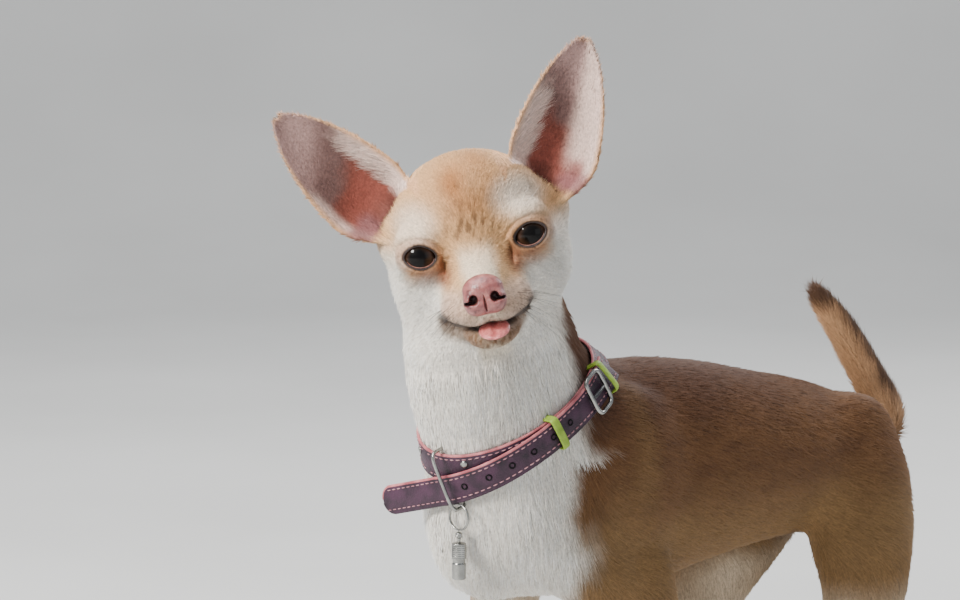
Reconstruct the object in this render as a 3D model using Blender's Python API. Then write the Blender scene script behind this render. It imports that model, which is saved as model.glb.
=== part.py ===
"""A life-size still model of a smooth-coat chihuahua, standing with its head turned to its left.

The dog faces -Y, its left side is +X and the floor is z = 0. The flesh is one smooth shape, worked
out from ovals and tapered tubes that melt together, then parted into head, neck, torso, tail, legs
and ears by flat cuts 0.3 mm wide. All lengths are in metres.
"""

import math

import bmesh
import bpy
import numpy as np
from mathutils import Matrix, Vector

# Driving sizes of the whole dog
GAP = 0.0003
HEAD_STEP = 0.00125
BODY_STEP = 0.0025
LEG_STEP = 0.0015
BLOCK = 4
HEAD_TRIANGLES = 3580
BODY_TRIANGLES = 3600
FRONT_LEG_TRIANGLES = 560
HIND_LEG_TRIANGLES = 760

# Pose of the head: the point midway between the eyes, and how the head turns and leans
BROW = np.array((0.032, -0.110, 0.294))
HEAD_TURN = math.radians(50)
HEAD_LEAN = math.radians(12)

# Head sizes
EYE_RADIUS = 0.0093
EYE_ACROSS = 0.0235
EYE_BACK = -0.0088
EYE_OPEN = (0.0066, 0.0050)
EAR_LENGTH = 0.064
EAR_BURIED = 0.012
EAR_HALF_WIDTH = 0.0198
EAR_SPLAY = {"left": math.radians(27.0), "right": math.radians(36.0)}
EAR_ROOT = (0.0330, -0.0290, 0.0190)
EAR_CUP = 0.80
EAR_THICK = 0.0026
EAR_OUT = 0.0020

# Legs: foot places, and how far the right feet stand ahead of the left ones
LEG_ACROSS = 0.032
PAW_WALL = 0.0040
FORE_LEFT = -0.018
FORE_RIGHT = -0.046
HIND_LEFT = 0.0
HIND_RIGHT = -0.045

SIDES = {"left": 1.0, "right": -1.0}


def unit(vector):
    """The vector at length one."""
    vector = np.asarray(vector, dtype=float)
    return vector / np.linalg.norm(vector)


def head_axes():
    """Rows: across to the dog's left, forward out of the face, and up through the crown."""
    flat = np.array((math.cos(HEAD_TURN), math.sin(HEAD_TURN), 0.0))
    rise = np.array((0.0, 0.0, 1.0))
    across = math.cos(HEAD_LEAN) * flat + math.sin(HEAD_LEAN) * rise
    up = math.cos(HEAD_LEAN) * rise - math.sin(HEAD_LEAN) * flat
    return np.array((across, np.cross(across, up), up))


HEAD = head_axes()


def from_head(point):
    """World place of a point given as across, forward and up from the brow."""
    return BROW + np.asarray(point, dtype=float) @ HEAD


# Shapes that melt together: each gives the distance to its skin, below zero inside


def oval(points, centre, radii):
    """An ellipsoid: the distance along the ray from its centre."""
    reach = points - np.asarray(centre)
    length = np.sqrt((reach**2).sum(axis=1)) + 1e-9
    scaled = np.sqrt(((reach / np.asarray(radii)) ** 2).sum(axis=1)) + 1e-9
    return length - length / scaled


def rounded(stations, steps=4):
    """Extra stations on a smooth curve through the given ones."""
    given = np.asarray(stations, dtype=float)
    padded = np.vstack((2 * given[0] - given[1], given, 2 * given[-1] - given[-2]))
    out = []
    for before, start, end, after in zip(padded[:-3], padded[1:-2], padded[2:-1], padded[3:]):
        for t in np.arange(steps) / steps:
            bend = 2 * start + (end - before) * t
            bend = bend + (2 * before - 5 * start + 4 * end - after) * t**2
            bend = bend + (3 * start - before - 3 * end + after) * t**3
            out.append(bend / 2)
    out.append(given[-1])
    return np.array(out)


def tube(points, stations, side=(1.0, 0.0, 0.0)):
    """A tapered tube of oval section through stations of x, y, z, half width and half depth."""
    side = unit(side)
    nearest = np.full(len(points), 1.0)
    fine = rounded(stations)
    for start, end in zip(fine[:-1], fine[1:]):
        axis = end[:3] - start[:3]
        along = np.clip((points - start[:3]) @ axis / (axis @ axis), 0.0, 1.0)
        away = points - start[:3] - along[:, None] * axis
        across = away @ side
        total = (away**2).sum(axis=1)
        half_wide = start[3] + along * (end[3] - start[3])
        half_deep = start[4] + along * (end[4] - start[4])
        scaled = np.sqrt((across / half_wide) ** 2 + (total - across**2) / half_deep**2) + 1e-9
        length = np.sqrt(total) + 1e-9
        nearest = np.minimum(nearest, length - length / scaled)
    return nearest


def melt(first, second, blend):
    """Both shapes as one, with a fillet about as wide as the blend."""
    share = np.clip(0.5 + 0.5 * (second - first) / blend, 0.0, 1.0)
    return second + (first - second) * share - blend * share * (1.0 - share)


def carve(first, second, blend):
    """The first shape less the second, with a rounded edge."""
    return -melt(-first, second, blend)


TORSO = [
    (0.0, -0.064, 0.172, 0.031, 0.037),
    (0.0, -0.034, 0.181, 0.036, 0.049),
    (0.0, 0.000, 0.1818, 0.0395, 0.0518),
    (0.0, 0.035, 0.1830, 0.0410, 0.0470),
    (0.0, 0.070, 0.1815, 0.0400, 0.0410),
    (0.0, 0.105, 0.1785, 0.0365, 0.0360),
    (0.0, 0.128, 0.1735, 0.0345, 0.0315),
    (0.0, 0.141, 0.1665, 0.0300, 0.0270),
]

NECK = [
    (0.000, -0.047, 0.190, 0.035, 0.045),
    (0.001, -0.059, 0.208, 0.036, 0.048),
    (0.002, -0.070, 0.227, 0.035, 0.0455),
    (0.003, -0.079, 0.250, 0.033, 0.043),
    (0.002, -0.082, 0.276, 0.030, 0.036),
]

TAIL = [
    (0.0, 0.140, 0.176, 0.0120, 0.0120),
    (0.0, 0.158, 0.1765, 0.0105, 0.0105),
    (0.0, 0.1695, 0.1815, 0.0088, 0.0088),
    (0.0, 0.1705, 0.1945, 0.0080, 0.0080),
    (0.0, 0.1590, 0.2120, 0.0074, 0.0074),
    (0.0, 0.1435, 0.2325, 0.0064, 0.0064),
    (0.0, 0.1315, 0.2460, 0.0050, 0.0050),
    (0.0, 0.1260, 0.2515, 0.0032, 0.0032),
]


def shoulder(points, sign, foot):
    """Shoulder blade and upper arm of one side."""
    blade = oval(points, (0.026 * sign, -0.020, 0.186), (0.0155, 0.027, 0.038))
    arm = tube(
        points,
        [
            (0.021 * sign, -0.070, 0.172, 0.015, 0.018),
            (0.027 * sign, -0.045, 0.150, 0.015, 0.018),
            (0.030 * sign, foot + 0.008, 0.128, 0.0125, 0.0145),
        ],
    )
    return melt(blade, arm, 0.012)


def foreleg(points, sign, foot):
    """Forearm, wrist and pastern of one side, down to the paw."""
    x = LEG_ACROSS * sign
    return tube(
        points,
        [
            (x * 0.95, foot + 0.005, 0.140, 0.0115, 0.0160),
            (x * 0.98, foot + 0.003, 0.118, 0.0112, 0.0142),
            (x, foot, 0.080, 0.0088, 0.0102),
            (x, foot - 0.001, 0.048, 0.0074, 0.0080),
            (x, foot - 0.002, 0.036, 0.0080, 0.0086),
            (x, foot - 0.007, 0.016, 0.0080, 0.0080),
        ],
    )


def thigh(points, sign, shift):
    """Thigh and knee of one side."""
    return tube(
        points,
        [
            (0.0190 * sign, 0.130, 0.182, 0.0150, 0.0250),
            (0.0260 * sign, 0.1285 + 0.4 * shift, 0.155, 0.0165, 0.0310),
            (0.0305 * sign, 0.1280 + 0.8 * shift, 0.128, 0.0155, 0.0265),
            (0.0330 * sign, 0.1255 + shift, 0.106, 0.0130, 0.0205),
        ],
    )


def hind_shank(points, sign, shift):
    """Lower leg, hock and instep of one side."""
    x = LEG_ACROSS * sign
    shank = tube(
        points,
        [
            (x, 0.1240 + shift, 0.108, 0.0125, 0.0190),
            (x, 0.1410 + shift, 0.086, 0.0100, 0.0140),
            (x * 0.96, 0.160 + shift, 0.067, 0.0072, 0.0088),
            (x * 0.95, 0.170 + shift, 0.056, 0.0066, 0.0078),
            (x * 0.95, 0.168 + shift, 0.036, 0.0064, 0.0068),
            (x * 0.96, 0.160 + shift, 0.015, 0.0076, 0.0078),
        ],
    )
    heel = tube(
        points,
        [
            (x * 0.97, 0.143 + shift, 0.100, 0.0045, 0.0060),
            (x * 0.96, 0.162 + shift, 0.078, 0.0038, 0.0042),
            (x * 0.95, 0.1755 + shift, 0.061, 0.0042, 0.0045),
        ],
    )
    return melt(shank, heel, 0.006)


TOES = ((-0.0084, -0.0080), (-0.0029, -0.0115), (0.0029, -0.0115), (0.0084, -0.0080))


def paw(points, x, y):
    """One paw: the pad's mass and four toes, with upright sides close to the floor."""
    points = np.concatenate((points[..., :2], np.maximum(points[..., 2:], PAW_WALL)), axis=-1)
    shape = oval(points, (x, y, 0.0085), (0.0098, 0.0125, 0.0090))
    for place, reach in TOES:
        toe = oval(points, (x + place, y + reach, 0.0052), (0.0037, 0.0078, 0.0056))
        shape = melt(shape, toe, 0.0022)
    return shape


FEET = {
    "front_leg_left": (LEG_ACROSS, FORE_LEFT - 0.013),
    "front_leg_right": (-LEG_ACROSS, FORE_RIGHT - 0.013),
    "hind_leg_left": (LEG_ACROSS * 0.96, 0.154 + HIND_LEFT),
    "hind_leg_right": (-LEG_ACROSS * 0.96, 0.154 + HIND_RIGHT),
}


def body(points):
    """Torso, neck, tail and legs."""
    shape = tube(points, TORSO)
    for side, sign in SIDES.items():
        foot = FORE_LEFT if side == "left" else FORE_RIGHT
        shape = melt(shape, shoulder(points, sign, foot), 0.010)
        shift = HIND_LEFT if side == "left" else HIND_RIGHT
        shape = melt(shape, thigh(points, sign, shift), 0.010)
    keel = oval(points, (0.0, -0.078, 0.166), (0.015, 0.021, 0.028))
    shape = melt(shape, keel, 0.012)
    shape = melt(shape, tube(points, NECK, (0.93, 0.36, 0.0)), 0.018)
    shape = melt(shape, tube(points, TAIL), 0.007)
    for side, sign in SIDES.items():
        foot = FORE_LEFT if side == "left" else FORE_RIGHT
        shape = melt(shape, foreleg(points, sign, foot), 0.006)
        shift = HIND_LEFT if side == "left" else HIND_RIGHT
        shape = melt(shape, hind_shank(points, sign, shift), 0.006)
    for x, y in FEET.values():
        shape = melt(shape, paw(points, x, y), 0.004)
    return shape


def head(local):
    """Skull, brow, cheeks, muzzle, lips and jaw, in head axes."""
    shape = oval(local, (0.0, -0.041, 0.0020), (0.0370, 0.0395, 0.0350))
    shape = melt(shape, oval(local, (0.0, -0.026, 0.0115), (0.0295, 0.0255, 0.0255)), 0.010)
    for sign in SIDES.values():
        cheek = oval(local, (0.0215 * sign, -0.031, -0.012), (0.0170, 0.026, 0.022))
        shape = melt(shape, cheek, 0.010)
        brow = oval(local, (0.0200 * sign, -0.010, 0.0085), (0.0110, 0.0095, 0.0060))
        shape = melt(shape, brow, 0.006)
        ear_base = oval(local, (0.0330 * sign, -0.040, 0.0090), (0.0090, 0.012, 0.013))
        shape = melt(shape, ear_base, 0.008)
    bridge = [
        (0.0, -0.016, -0.0150, 0.0165, 0.0130),
        (0.0, 0.002, -0.0165, 0.0128, 0.0125),
        (0.0, 0.015, -0.0175, 0.0104, 0.0112),
        (0.0, 0.0225, -0.0182, 0.0092, 0.0098),
    ]
    shape = melt(shape, tube(local, bridge), 0.010)
    for sign in SIDES.values():
        flew = oval(local, (0.0060 * sign, 0.0165, -0.0238), (0.0082, 0.0125, 0.0072))
        shape = melt(shape, flew, 0.004)
        corner = oval(local, (0.0120 * sign, 0.0020, -0.0235), (0.0078, 0.0140, 0.0082))
        shape = melt(shape, corner, 0.007)
        lid = oval(local, (EYE_ACROSS * sign, EYE_BACK, 0.0), (EYE_RADIUS + 0.0013,) * 3)
        shape = melt(shape, lid, 0.006)
    jaw = [
        (0.0, -0.024, -0.0285, 0.0180, 0.0120),
        (0.0, -0.004, -0.0325, 0.0140, 0.0080),
        (0.0, 0.011, -0.0350, 0.0098, 0.0054),
        (0.0, 0.0190, -0.0350, 0.0072, 0.0048),
    ]
    shape = melt(shape, tube(local, jaw), 0.0016)
    for sign in SIDES.values():
        conch = oval(local, (0.0345 * sign, -0.0330, 0.0165), (0.0080, 0.0085, 0.0115))
        shape = carve(shape, conch, 0.003)
    return shape


def flesh(points):
    """The whole animal, less eyes, nose, tongue and the leaves of the ears."""
    shape = body(points)
    high = points[:, 2] > 0.215
    local = (points[high] - BROW) @ HEAD.T
    shape[high] = melt(shape[high], head(local), 0.008)
    return shape


# Flat places where the nodes part: a point on each and the way it faces
NECK_TOP = (from_head((0.0, -0.025, -0.0435)), unit(HEAD[2] + 0.22 * HEAD[1]))
NECK_FOOT = (np.array((0.0, -0.0565, 0.2000)), unit((-0.06, -0.55, 0.835)))
TAIL_ROOT = (np.array((0.0, 0.1690, 0.1840)), unit((0.0, 0.75, 0.66)))
FRONT_LEG_BOX = ((0.004, -0.105, -0.004), (0.064, 0.035, 0.1235))
HIND_LEG_BOX = ((0.004, 0.045, -0.004), (0.064, 0.200, 0.1300))


def above(points, flat):
    """Height over a flat place."""
    return (points - flat[0]) @ flat[1]


def head_flesh(points):
    """The flesh down to just under the head's flat place."""
    return np.maximum(flesh(points), -0.004 - above(points, NECK_TOP))


def body_flesh(points):
    """The flesh from the tops of the legs to just over the head's flat place."""
    shape = np.maximum(flesh(points), above(points, NECK_TOP) - 0.004)
    return np.maximum(shape, FRONT_LEG_BOX[1][2] - 0.004 - points[..., 2])


# Meshing: a net of squares wrapped round the zero surface of a shape


def net_of(shape, low, high, step):
    """Corner points and faces of the shape's skin inside a box, on a grid of one step."""
    counts = np.ceil((np.asarray(high) - low) / step / BLOCK).astype(int) * BLOCK
    axes = [low[i] + step * (np.arange(counts[i]) + 0.5) for i in range(3)]
    coarse = [axis.reshape(-1, BLOCK).mean(axis=1) for axis in axes]
    corners = np.stack(np.meshgrid(*coarse, indexing="ij"), axis=-1).reshape(-1, 3)
    rough = shape(corners).reshape([len(axis) for axis in coarse])
    near = np.abs(rough) < step * BLOCK * 1.6
    for axis in range(3):
        near = near.repeat(BLOCK, axis=axis)
        rough = rough.repeat(BLOCK, axis=axis)
    places = np.argwhere(near)
    points = np.stack([axes[i][places[:, i]] for i in range(3)], axis=1)
    values = rough.copy()
    values[near] = shape(points)
    return net_faces(values, axes, step)


def net_faces(values, axes, step):
    """One point in each cell that the skin crosses, and one square for each crossed grid edge."""
    inside = values < 0
    cells = np.array(values.shape) - 1
    total = np.zeros(tuple(cells) + (3,), dtype=np.float32)
    count = np.zeros(tuple(cells), dtype=np.float32)
    crossings = []
    for axis in range(3):
        first = [slice(None)] * 3
        second = [slice(None)] * 3
        first[axis] = slice(0, -1)
        second[axis] = slice(1, None)
        crossed = inside[tuple(first)] != inside[tuple(second)]
        where = np.argwhere(crossed)
        start = values[tuple(first)][crossed]
        end = values[tuple(second)][crossed]
        place = where.astype(float)
        place[:, axis] += start / (start - end)
        others = [i for i in range(3) if i != axis]
        for back in ((0, 0), (1, 0), (1, 1), (0, 1)):
            cell = where.copy()
            cell[:, others[0]] -= back[0]
            cell[:, others[1]] -= back[1]
            keep = ((cell >= 0) & (cell < cells)).all(axis=1)
            index = tuple(cell[keep].T)
            np.add.at(total, index, place[keep])
            np.add.at(count, index, 1.0)
        crossings.append((axis, others, where, inside[tuple(first)][crossed]))
    number = np.full(tuple(cells), -1)
    used = count > 0
    number[used] = np.arange(used.sum())
    origin = np.array([axis[0] for axis in axes])
    corners = total[used] / count[used][:, None] * step + origin
    faces = []
    for axis, others, where, outward in crossings:
        ring = []
        for back in ((0, 0), (1, 0), (1, 1), (0, 1)):
            cell = where.copy()
            cell[:, others[0]] -= back[0]
            cell[:, others[1]] -= back[1]
            ring.append(number[tuple(cell.T)])
        square = np.stack(ring, axis=1)
        turned = outward if axis != 1 else ~outward
        square[~turned] = square[~turned][:, ::-1]
        faces.append(square)
    return corners, np.concatenate(faces)


def slope_of(shape, points, reach=0.0002):
    """Gradient of a shape at scattered points."""
    slope = np.empty_like(points)
    for axis in range(3):
        step = np.zeros(3)
        step[axis] = reach
        slope[:, axis] = (shape(points + step) - shape(points - step)) / (2 * reach)
    return slope


def settled(shape, points, rounds=3):
    """The points moved onto the shape's skin."""
    for _ in range(rounds):
        slope = slope_of(shape, points)
        size = np.maximum((slope**2).sum(axis=1), 0.05)
        move = -shape(points)[:, None] * slope / size[:, None]
        points = points + np.clip(move, -0.001, 0.001)
    return points


# Building blocks in Blender


def clear_scene():
    """An empty scene, with nothing left in it."""
    for item in list(bpy.data.objects):
        bpy.data.objects.remove(item, do_unlink=True)


def finish_of(name, colour, roughness, metallic=0.0):
    """A plain material of one colour."""
    finish = bpy.data.materials.new(name)
    finish.use_nodes = True
    shader = finish.node_tree.nodes["Principled BSDF"]
    shader.inputs["Base Color"].default_value = (*colour, 1.0)
    shader.inputs["Roughness"].default_value = roughness
    shader.inputs["Metallic"].default_value = metallic
    return finish


def make_object(name, corners, faces, finish=None, helper=False):
    """A mesh object from corner points and faces."""
    mesh = bpy.data.meshes.new(name)
    mesh.from_pydata([tuple(corner) for corner in corners], [], [tuple(face) for face in faces])
    work = bmesh.new()
    work.from_mesh(mesh)
    bmesh.ops.recalc_face_normals(work, faces=work.faces)
    work.to_mesh(mesh)
    work.free()
    item = bpy.data.objects.new(name, mesh)
    bpy.context.scene.collection.objects.link(item)
    if finish is not None:
        mesh.materials.append(finish)
    if helper:
        item.hide_render = True
        item.display_type = "WIRE"
    return item


def apply_modifiers(item):
    """The object's mesh as its modifiers leave it."""
    graph = bpy.context.evaluated_depsgraph_get()
    made = bpy.data.meshes.new_from_object(item.evaluated_get(graph), depsgraph=graph)
    item.modifiers.clear()
    old = item.data
    item.data = made
    bpy.data.meshes.remove(old)


def boolean(item, other, operation, solver="EXACT"):
    """One Boolean of two objects, applied."""
    step = item.modifiers.new("cut", "BOOLEAN")
    step.operation = operation
    step.solver = solver
    step.object = other
    apply_modifiers(item)


def keep_largest(item):
    """Only the largest closed surface of the object."""
    work = bmesh.new()
    work.from_mesh(item.data)
    left = set(work.verts)
    groups = []
    while left:
        stack = [left.pop()]
        group = set(stack)
        while stack:
            for edge in stack.pop().link_edges:
                for corner in edge.verts:
                    if corner not in group:
                        group.add(corner)
                        stack.append(corner)
        left -= group
        groups.append(group)
    groups.sort(key=len)
    for group in groups[:-1]:
        bmesh.ops.delete(work, geom=list(group), context="VERTS")
    work.to_mesh(item.data)
    work.free()


def settle_corners(item):
    """Join the near-duplicate corners that Booleans leave."""
    work = bmesh.new()
    work.from_mesh(item.data)
    bmesh.ops.triangulate(work, faces=work.faces)
    bmesh.ops.remove_doubles(work, verts=work.verts, dist=0.000002)
    bmesh.ops.dissolve_degenerate(work, edges=work.edges, dist=0.000002)
    work.to_mesh(item.data)
    work.free()


def smooth(item, angle=50):
    """Smooth shading with edges sharper than the angle kept."""
    item.data.shade_smooth()
    item.data.set_sharp_from_angle(angle=math.radians(angle))


def slab(name, centre, axes, sizes):
    """A box cutter with its own axes, given as rows."""
    corners = []
    for x in (-0.5, 0.5):
        for y in (-0.5, 0.5):
            for z in (-0.5, 0.5):
                share = np.array((x, y, z)) * sizes
                corners.append(np.asarray(centre) + share @ np.asarray(axes))
    faces = [(0, 1, 3, 2), (4, 6, 7, 5), (0, 4, 5, 1), (2, 3, 7, 6), (0, 2, 6, 4), (1, 5, 7, 3)]
    return make_object(name, corners, faces, helper=True)


def axes_with(normal, hint=(1.0, 0.0, 0.0)):
    """Rows of a right-handed frame whose third row is the normal."""
    third = unit(normal)
    first = unit(np.asarray(hint) - third * (np.asarray(hint) @ third))
    return np.array((first, np.cross(third, first), third))


def copy_of(item, name):
    """A second object with its own copy of the mesh."""
    twin = bpy.data.objects.new(name, item.data.copy())
    bpy.context.scene.collection.objects.link(twin)
    return twin


def part_off(source, name, place, normal, sizes, hint=(1.0, 0.0, 0.0)):
    """Cut a piece off the source beyond a flat place; both keep half of the gap."""
    axes = axes_with(normal, hint)
    depth = sizes[2]
    piece = copy_of(source, name)
    near = slab("near", np.asarray(place) + axes[2] * (depth / 2 + GAP / 2), axes, sizes)
    boolean(piece, near, "INTERSECT")
    bpy.data.objects.remove(near)
    grown = (sizes[0] + GAP, sizes[1] + GAP, sizes[2])
    far = slab("far", np.asarray(place) + axes[2] * (depth / 2 - GAP / 2), axes, grown)
    boolean(source, far, "DIFFERENCE")
    bpy.data.objects.remove(far)
    keep_largest(piece)
    keep_largest(source)
    return piece


def oval_object(name, centre, radii, axes=None, across=20, around=12, helper=False, finish=None):
    """An ellipsoid of given centre and radii, with its own axes as rows."""
    axes = np.eye(3) if axes is None else axes
    work = bmesh.new()
    bmesh.ops.create_uvsphere(work, u_segments=across, v_segments=around, radius=1.0)
    for corner in work.verts:
        corner.co = Vector(np.asarray(centre) + (np.array(corner.co) * radii) @ axes)
    work.normal_update()
    bmesh.ops.recalc_face_normals(work, faces=work.faces)
    mesh = bpy.data.meshes.new(name)
    work.to_mesh(mesh)
    work.free()
    item = bpy.data.objects.new(name, mesh)
    bpy.context.scene.collection.objects.link(item)
    item.hide_render = helper
    item.display_type = "WIRE" if helper else "TEXTURED"
    if finish is not None:
        mesh.materials.append(finish)
    return item


def prism(name, outline, low, high, place, axes, flare=1.0, helper=True, finish=None):
    """A straight prism: an outline in the first two axes, run along the third from low to high."""
    count = len(outline)
    corners = [np.append(np.asarray(point), low) for point in outline]
    corners += [np.append(np.asarray(point) * flare, high) for point in outline]
    corners = [np.asarray(place) + corner @ np.asarray(axes) for corner in corners]
    faces = [tuple(reversed(range(count))), tuple(range(count, 2 * count))]
    for i in range(count):
        after = (i + 1) % count
        faces.append((i, after, after + count, i + count))
    return make_object(name, corners, faces, finish, helper)


def cut_with(item, *cutters):
    """Take the cutters away from the item, one after another, and remove them."""
    for cutter in cutters:
        boolean(item, cutter, "DIFFERENCE")
        bpy.data.objects.remove(cutter)
    keep_largest(item)


def skin_object(name, shape, low, high, step, triangles, finish):
    """A closed mesh round a shape, thinned to a number of triangles."""
    corners, faces = net_of(shape, low, high, step)
    corners = settled(shape, corners)
    item = make_object(name, corners, faces, finish)
    keep_largest(item)
    thin = item.modifiers.new("thin", "DECIMATE")
    thin.ratio = triangles / (2 * len(faces))
    apply_modifiers(item)
    return item


def leg_object(name, sign, box, triangles, finish):
    """One leg in its own finer net, level at the top and at the floor."""
    low, high = (np.array(corner) for corner in box)
    top = high[2]
    if sign < 0:
        low[0], high[0] = -high[0], -low[0]

    def limb(points):
        height = points[..., 2]
        return np.maximum(body(points), np.maximum(height - top - 0.003, -0.002 - height))

    leg = skin_object(name, limb, low, high + (0.0, 0.0, 0.008), LEG_STEP, triangles, finish)
    middle = (low + high) / 2
    lid = slab("lid", (middle[0], middle[1], top - GAP / 2 + 0.05), np.eye(3), (0.2, 0.3, 0.1))
    floor = slab("floor", (middle[0], middle[1], -0.05), np.eye(3), (0.2, 0.3, 0.1))
    cut_with(leg, lid, floor)
    claws = claws_of(name)
    boolean(leg, claws, "UNION")
    bpy.data.objects.remove(claws)
    keep_largest(leg)
    return leg


def room_for_leg(sign, box):
    """A block that takes everything under a leg's flat place away from the torso."""
    low, high = (np.array(corner) for corner in box)
    middle = (low + high) / 2
    sizes = (high[0] - low[0], high[1] - low[1], 0.2)
    return slab("room", (middle[0] * sign, middle[1], high[2] + GAP / 2 - 0.1), np.eye(3), sizes)


def ear_half_width(along):
    """Half the ear's width at each place from root to tip: wide low down, then a blunt point."""
    share = np.clip(along / EAR_LENGTH, 0.0, 1.0)
    waist = 1.0 - 0.22 * np.clip(1.0 - along / 0.014, 0.0, 2.0) ** 2
    return EAR_HALF_WIDTH * (1.0 - share**2.3) ** 0.72 * waist


def ear_leaf(side, finish, rows=15, columns=8):
    """The cupped leaf of one ear, a closed ring of points at each row, hollow to the front."""
    sign = SIDES[side]
    splay = EAR_SPLAY[side]
    length_way = np.array((math.sin(splay) * sign, 0.0, math.cos(splay)))
    out_way = np.array((math.cos(splay) * sign, 0.0, -math.sin(splay)))
    front_way = np.array((0.0, 1.0, 0.0))
    corners = []
    turn = np.concatenate((np.linspace(-1, 1, columns), np.linspace(1, -1, columns)[1:-1]))
    face = np.concatenate((np.full(columns, 1.0), np.full(columns - 2, -1.0)))
    ends = np.abs(turn) > 0.999
    rise = np.sin(np.linspace(0.0, 0.5 * math.pi, rows)) ** 1.15
    for along in -EAR_BURIED + (EAR_LENGTH + EAR_BURIED - 0.0008) * rise:
        half = float(ear_half_width(along))
        share = max(along, 0.0) / EAR_LENGTH
        cup = EAR_CUP * half * (1.0 - 0.45 * share)
        slope = 2.0 * cup * turn / half
        norm = np.sqrt(1.0 + slope**2)
        thick = EAR_THICK * (1.0 - 0.35 * share) * (1.0 - 0.45 * turn**2) / 2
        shift = np.where(ends, 0.0, face * thick)
        out = half * turn - shift * slope / norm + EAR_OUT
        front = -cup * (1.0 - turn**2) + shift / norm + 0.004 * share**2
        place = np.asarray(EAR_ROOT) * (sign, 1.0, 1.0) + along * length_way
        for across, ahead in zip(out, front):
            corners.append(from_head(place + across * out_way + ahead * front_way))
    ring = len(turn)
    faces = [tuple(range(ring)), tuple(reversed(range((rows - 1) * ring, rows * ring)))]
    for row in range(rows - 1):
        for column in range(ring):
            after = (column + 1) % ring
            low = row * ring
            faces.append((low + after, low + column, low + column + ring, low + after + ring))
    return make_object("ear_" + side, corners, faces, finish)


def grown(item, name, distance):
    """A helper copy of the object, swelled by a distance along its normals."""
    twin = copy_of(item, name)
    twin.hide_render = True
    twin.display_type = "WIRE"
    offsets = [Vector(corner.normal) * distance for corner in twin.data.vertices]
    for corner, offset in zip(twin.data.vertices, offsets):
        corner.co += offset
    return twin


def eye_opening(side):
    """The almond between the lids of one eye, as a cutter that runs out through the lids."""
    sign = SIDES[side]
    turn = np.linspace(0.0, 2 * math.pi, 20, endpoint=False)
    wide = EYE_OPEN[0] * np.cos(turn)
    tall = EYE_OPEN[1] * np.sin(turn) * (1.0 - 0.18 * np.abs(np.cos(turn)) ** 3)
    outline = np.stack((wide, tall + 0.10 * wide * sign), axis=1)
    place = from_head((EYE_ACROSS * sign, EYE_BACK, 0.0))
    axes = np.array((HEAD[0], HEAD[2], HEAD[1]))
    return prism("opening", outline, 0.0030, 0.0200, place, axes, flare=1.12)


def mouth_line():
    """A thin crescent cutter that follows the lips from corner to corner."""
    turn = np.linspace(-0.10, math.pi + 0.10, 19)
    outline = []
    for scale, order in ((1.35, turn), (0.90, turn[::-1])):
        for angle in order:
            outline.append((0.0175 * scale * math.cos(angle), 0.0245 * scale * math.sin(angle)))
    place = from_head((0.0, 0.001, -0.0306))
    return prism("mouth", outline, -0.0005, 0.0005, place, HEAD)


def claws_of(foot):
    """Four short claws of one foot, as one helper mesh of separate cones."""
    x, y = FEET[foot]
    corners = []
    faces = []
    for place, reach in TOES:
        root = np.array((x + place, y + reach - 0.0040, 0.0066))
        tip = np.array((x + place * 1.12, y + reach - 0.0116, 0.0020))
        axes = axes_with(tip - root)
        first = len(corners)
        for i in range(6):
            angle = i * math.pi / 3
            ring = math.cos(angle) * axes[0] + math.sin(angle) * axes[1]
            corners.append(root + 0.0014 * ring)
        corners.append(tip)
        for i in range(6):
            faces.append((first + i, first + (i + 1) % 6, first + 6))
        faces.append(tuple(range(first + 5, first - 1, -1)))
    return make_object("claws", corners, faces, helper=True)


# Collar: the inner strap lies in one plane round the neck, and the outer end slants across it
INNER_PLANE = (np.array((0.0, -0.062, 0.2205)), axes_with((0.057, -0.444, 0.894), (0.0, -1.0, 0.0)))
OUTER_PLANE = (np.array((0.0, -0.062, 0.2096)), axes_with((-0.204, -0.480, 0.853), (0.0, -1.0, 0.0)))
STRAP_WIDTH = 0.0120
STRAP_THICK = 0.0016
OUTER_LIFT = 2 * GAP + STRAP_THICK + 0.0005
FREE_LENGTH = 0.034
FREE_TAPER = ((0.15, 1.0), (0.3, 1.0), (0.5, 1.0), (0.7, 1.0), (0.86, 1.0), (0.94, 0.84), (0.99, 0.5))
BUCKLE_ANGLE = math.radians(114)
KEEPER_ANGLE = math.radians(72)
RING_ANGLES = (math.radians(13), math.radians(9))
RIVET_ANGLES = (-0.17, 0.42)
KEEPER_AHEAD = 0.29


def round_neck(plane, angles, level):
    """Places on the skin of the neck at angles round a collar plane, counted from the throat."""
    centre, axes = plane
    angles = np.atleast_1d(np.asarray(angles, dtype=float))
    ways = np.cos(angles)[:, None] * axes[0] + np.sin(angles)[:, None] * axes[1]
    start = centre + level * axes[2]
    low = np.full(angles.shape, 0.010)
    high = np.full(angles.shape, 0.075)
    for _ in range(22):
        middle = (low + high) / 2
        inside = body(start + middle[:, None] * ways) < 0
        low = np.where(inside, middle, low)
        high = np.where(inside, high, middle)
    return start + low[:, None] * ways


def strap_frame(plane, angles):
    """Centre line, outward, across and along ways of a band that lies on the neck."""
    lower = round_neck(plane, angles, -STRAP_WIDTH / 2)
    upper = round_neck(plane, angles, STRAP_WIDTH / 2)
    middle = round_neck(plane, angles, 0.0)
    ahead = round_neck(plane, np.asarray(angles) + 0.02, 0.0) - middle
    across = upper - lower
    across /= np.linalg.norm(across, axis=1)[:, None]
    outward = np.cross(ahead, across)
    outward /= np.linalg.norm(outward, axis=1)[:, None]
    bulge = ((middle - (upper + lower) / 2) * outward).sum(axis=1)
    centre = (upper + lower) / 2 + np.maximum(bulge, 0.0)[:, None] * outward
    return centre, outward, across, np.cross(across, outward)


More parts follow.
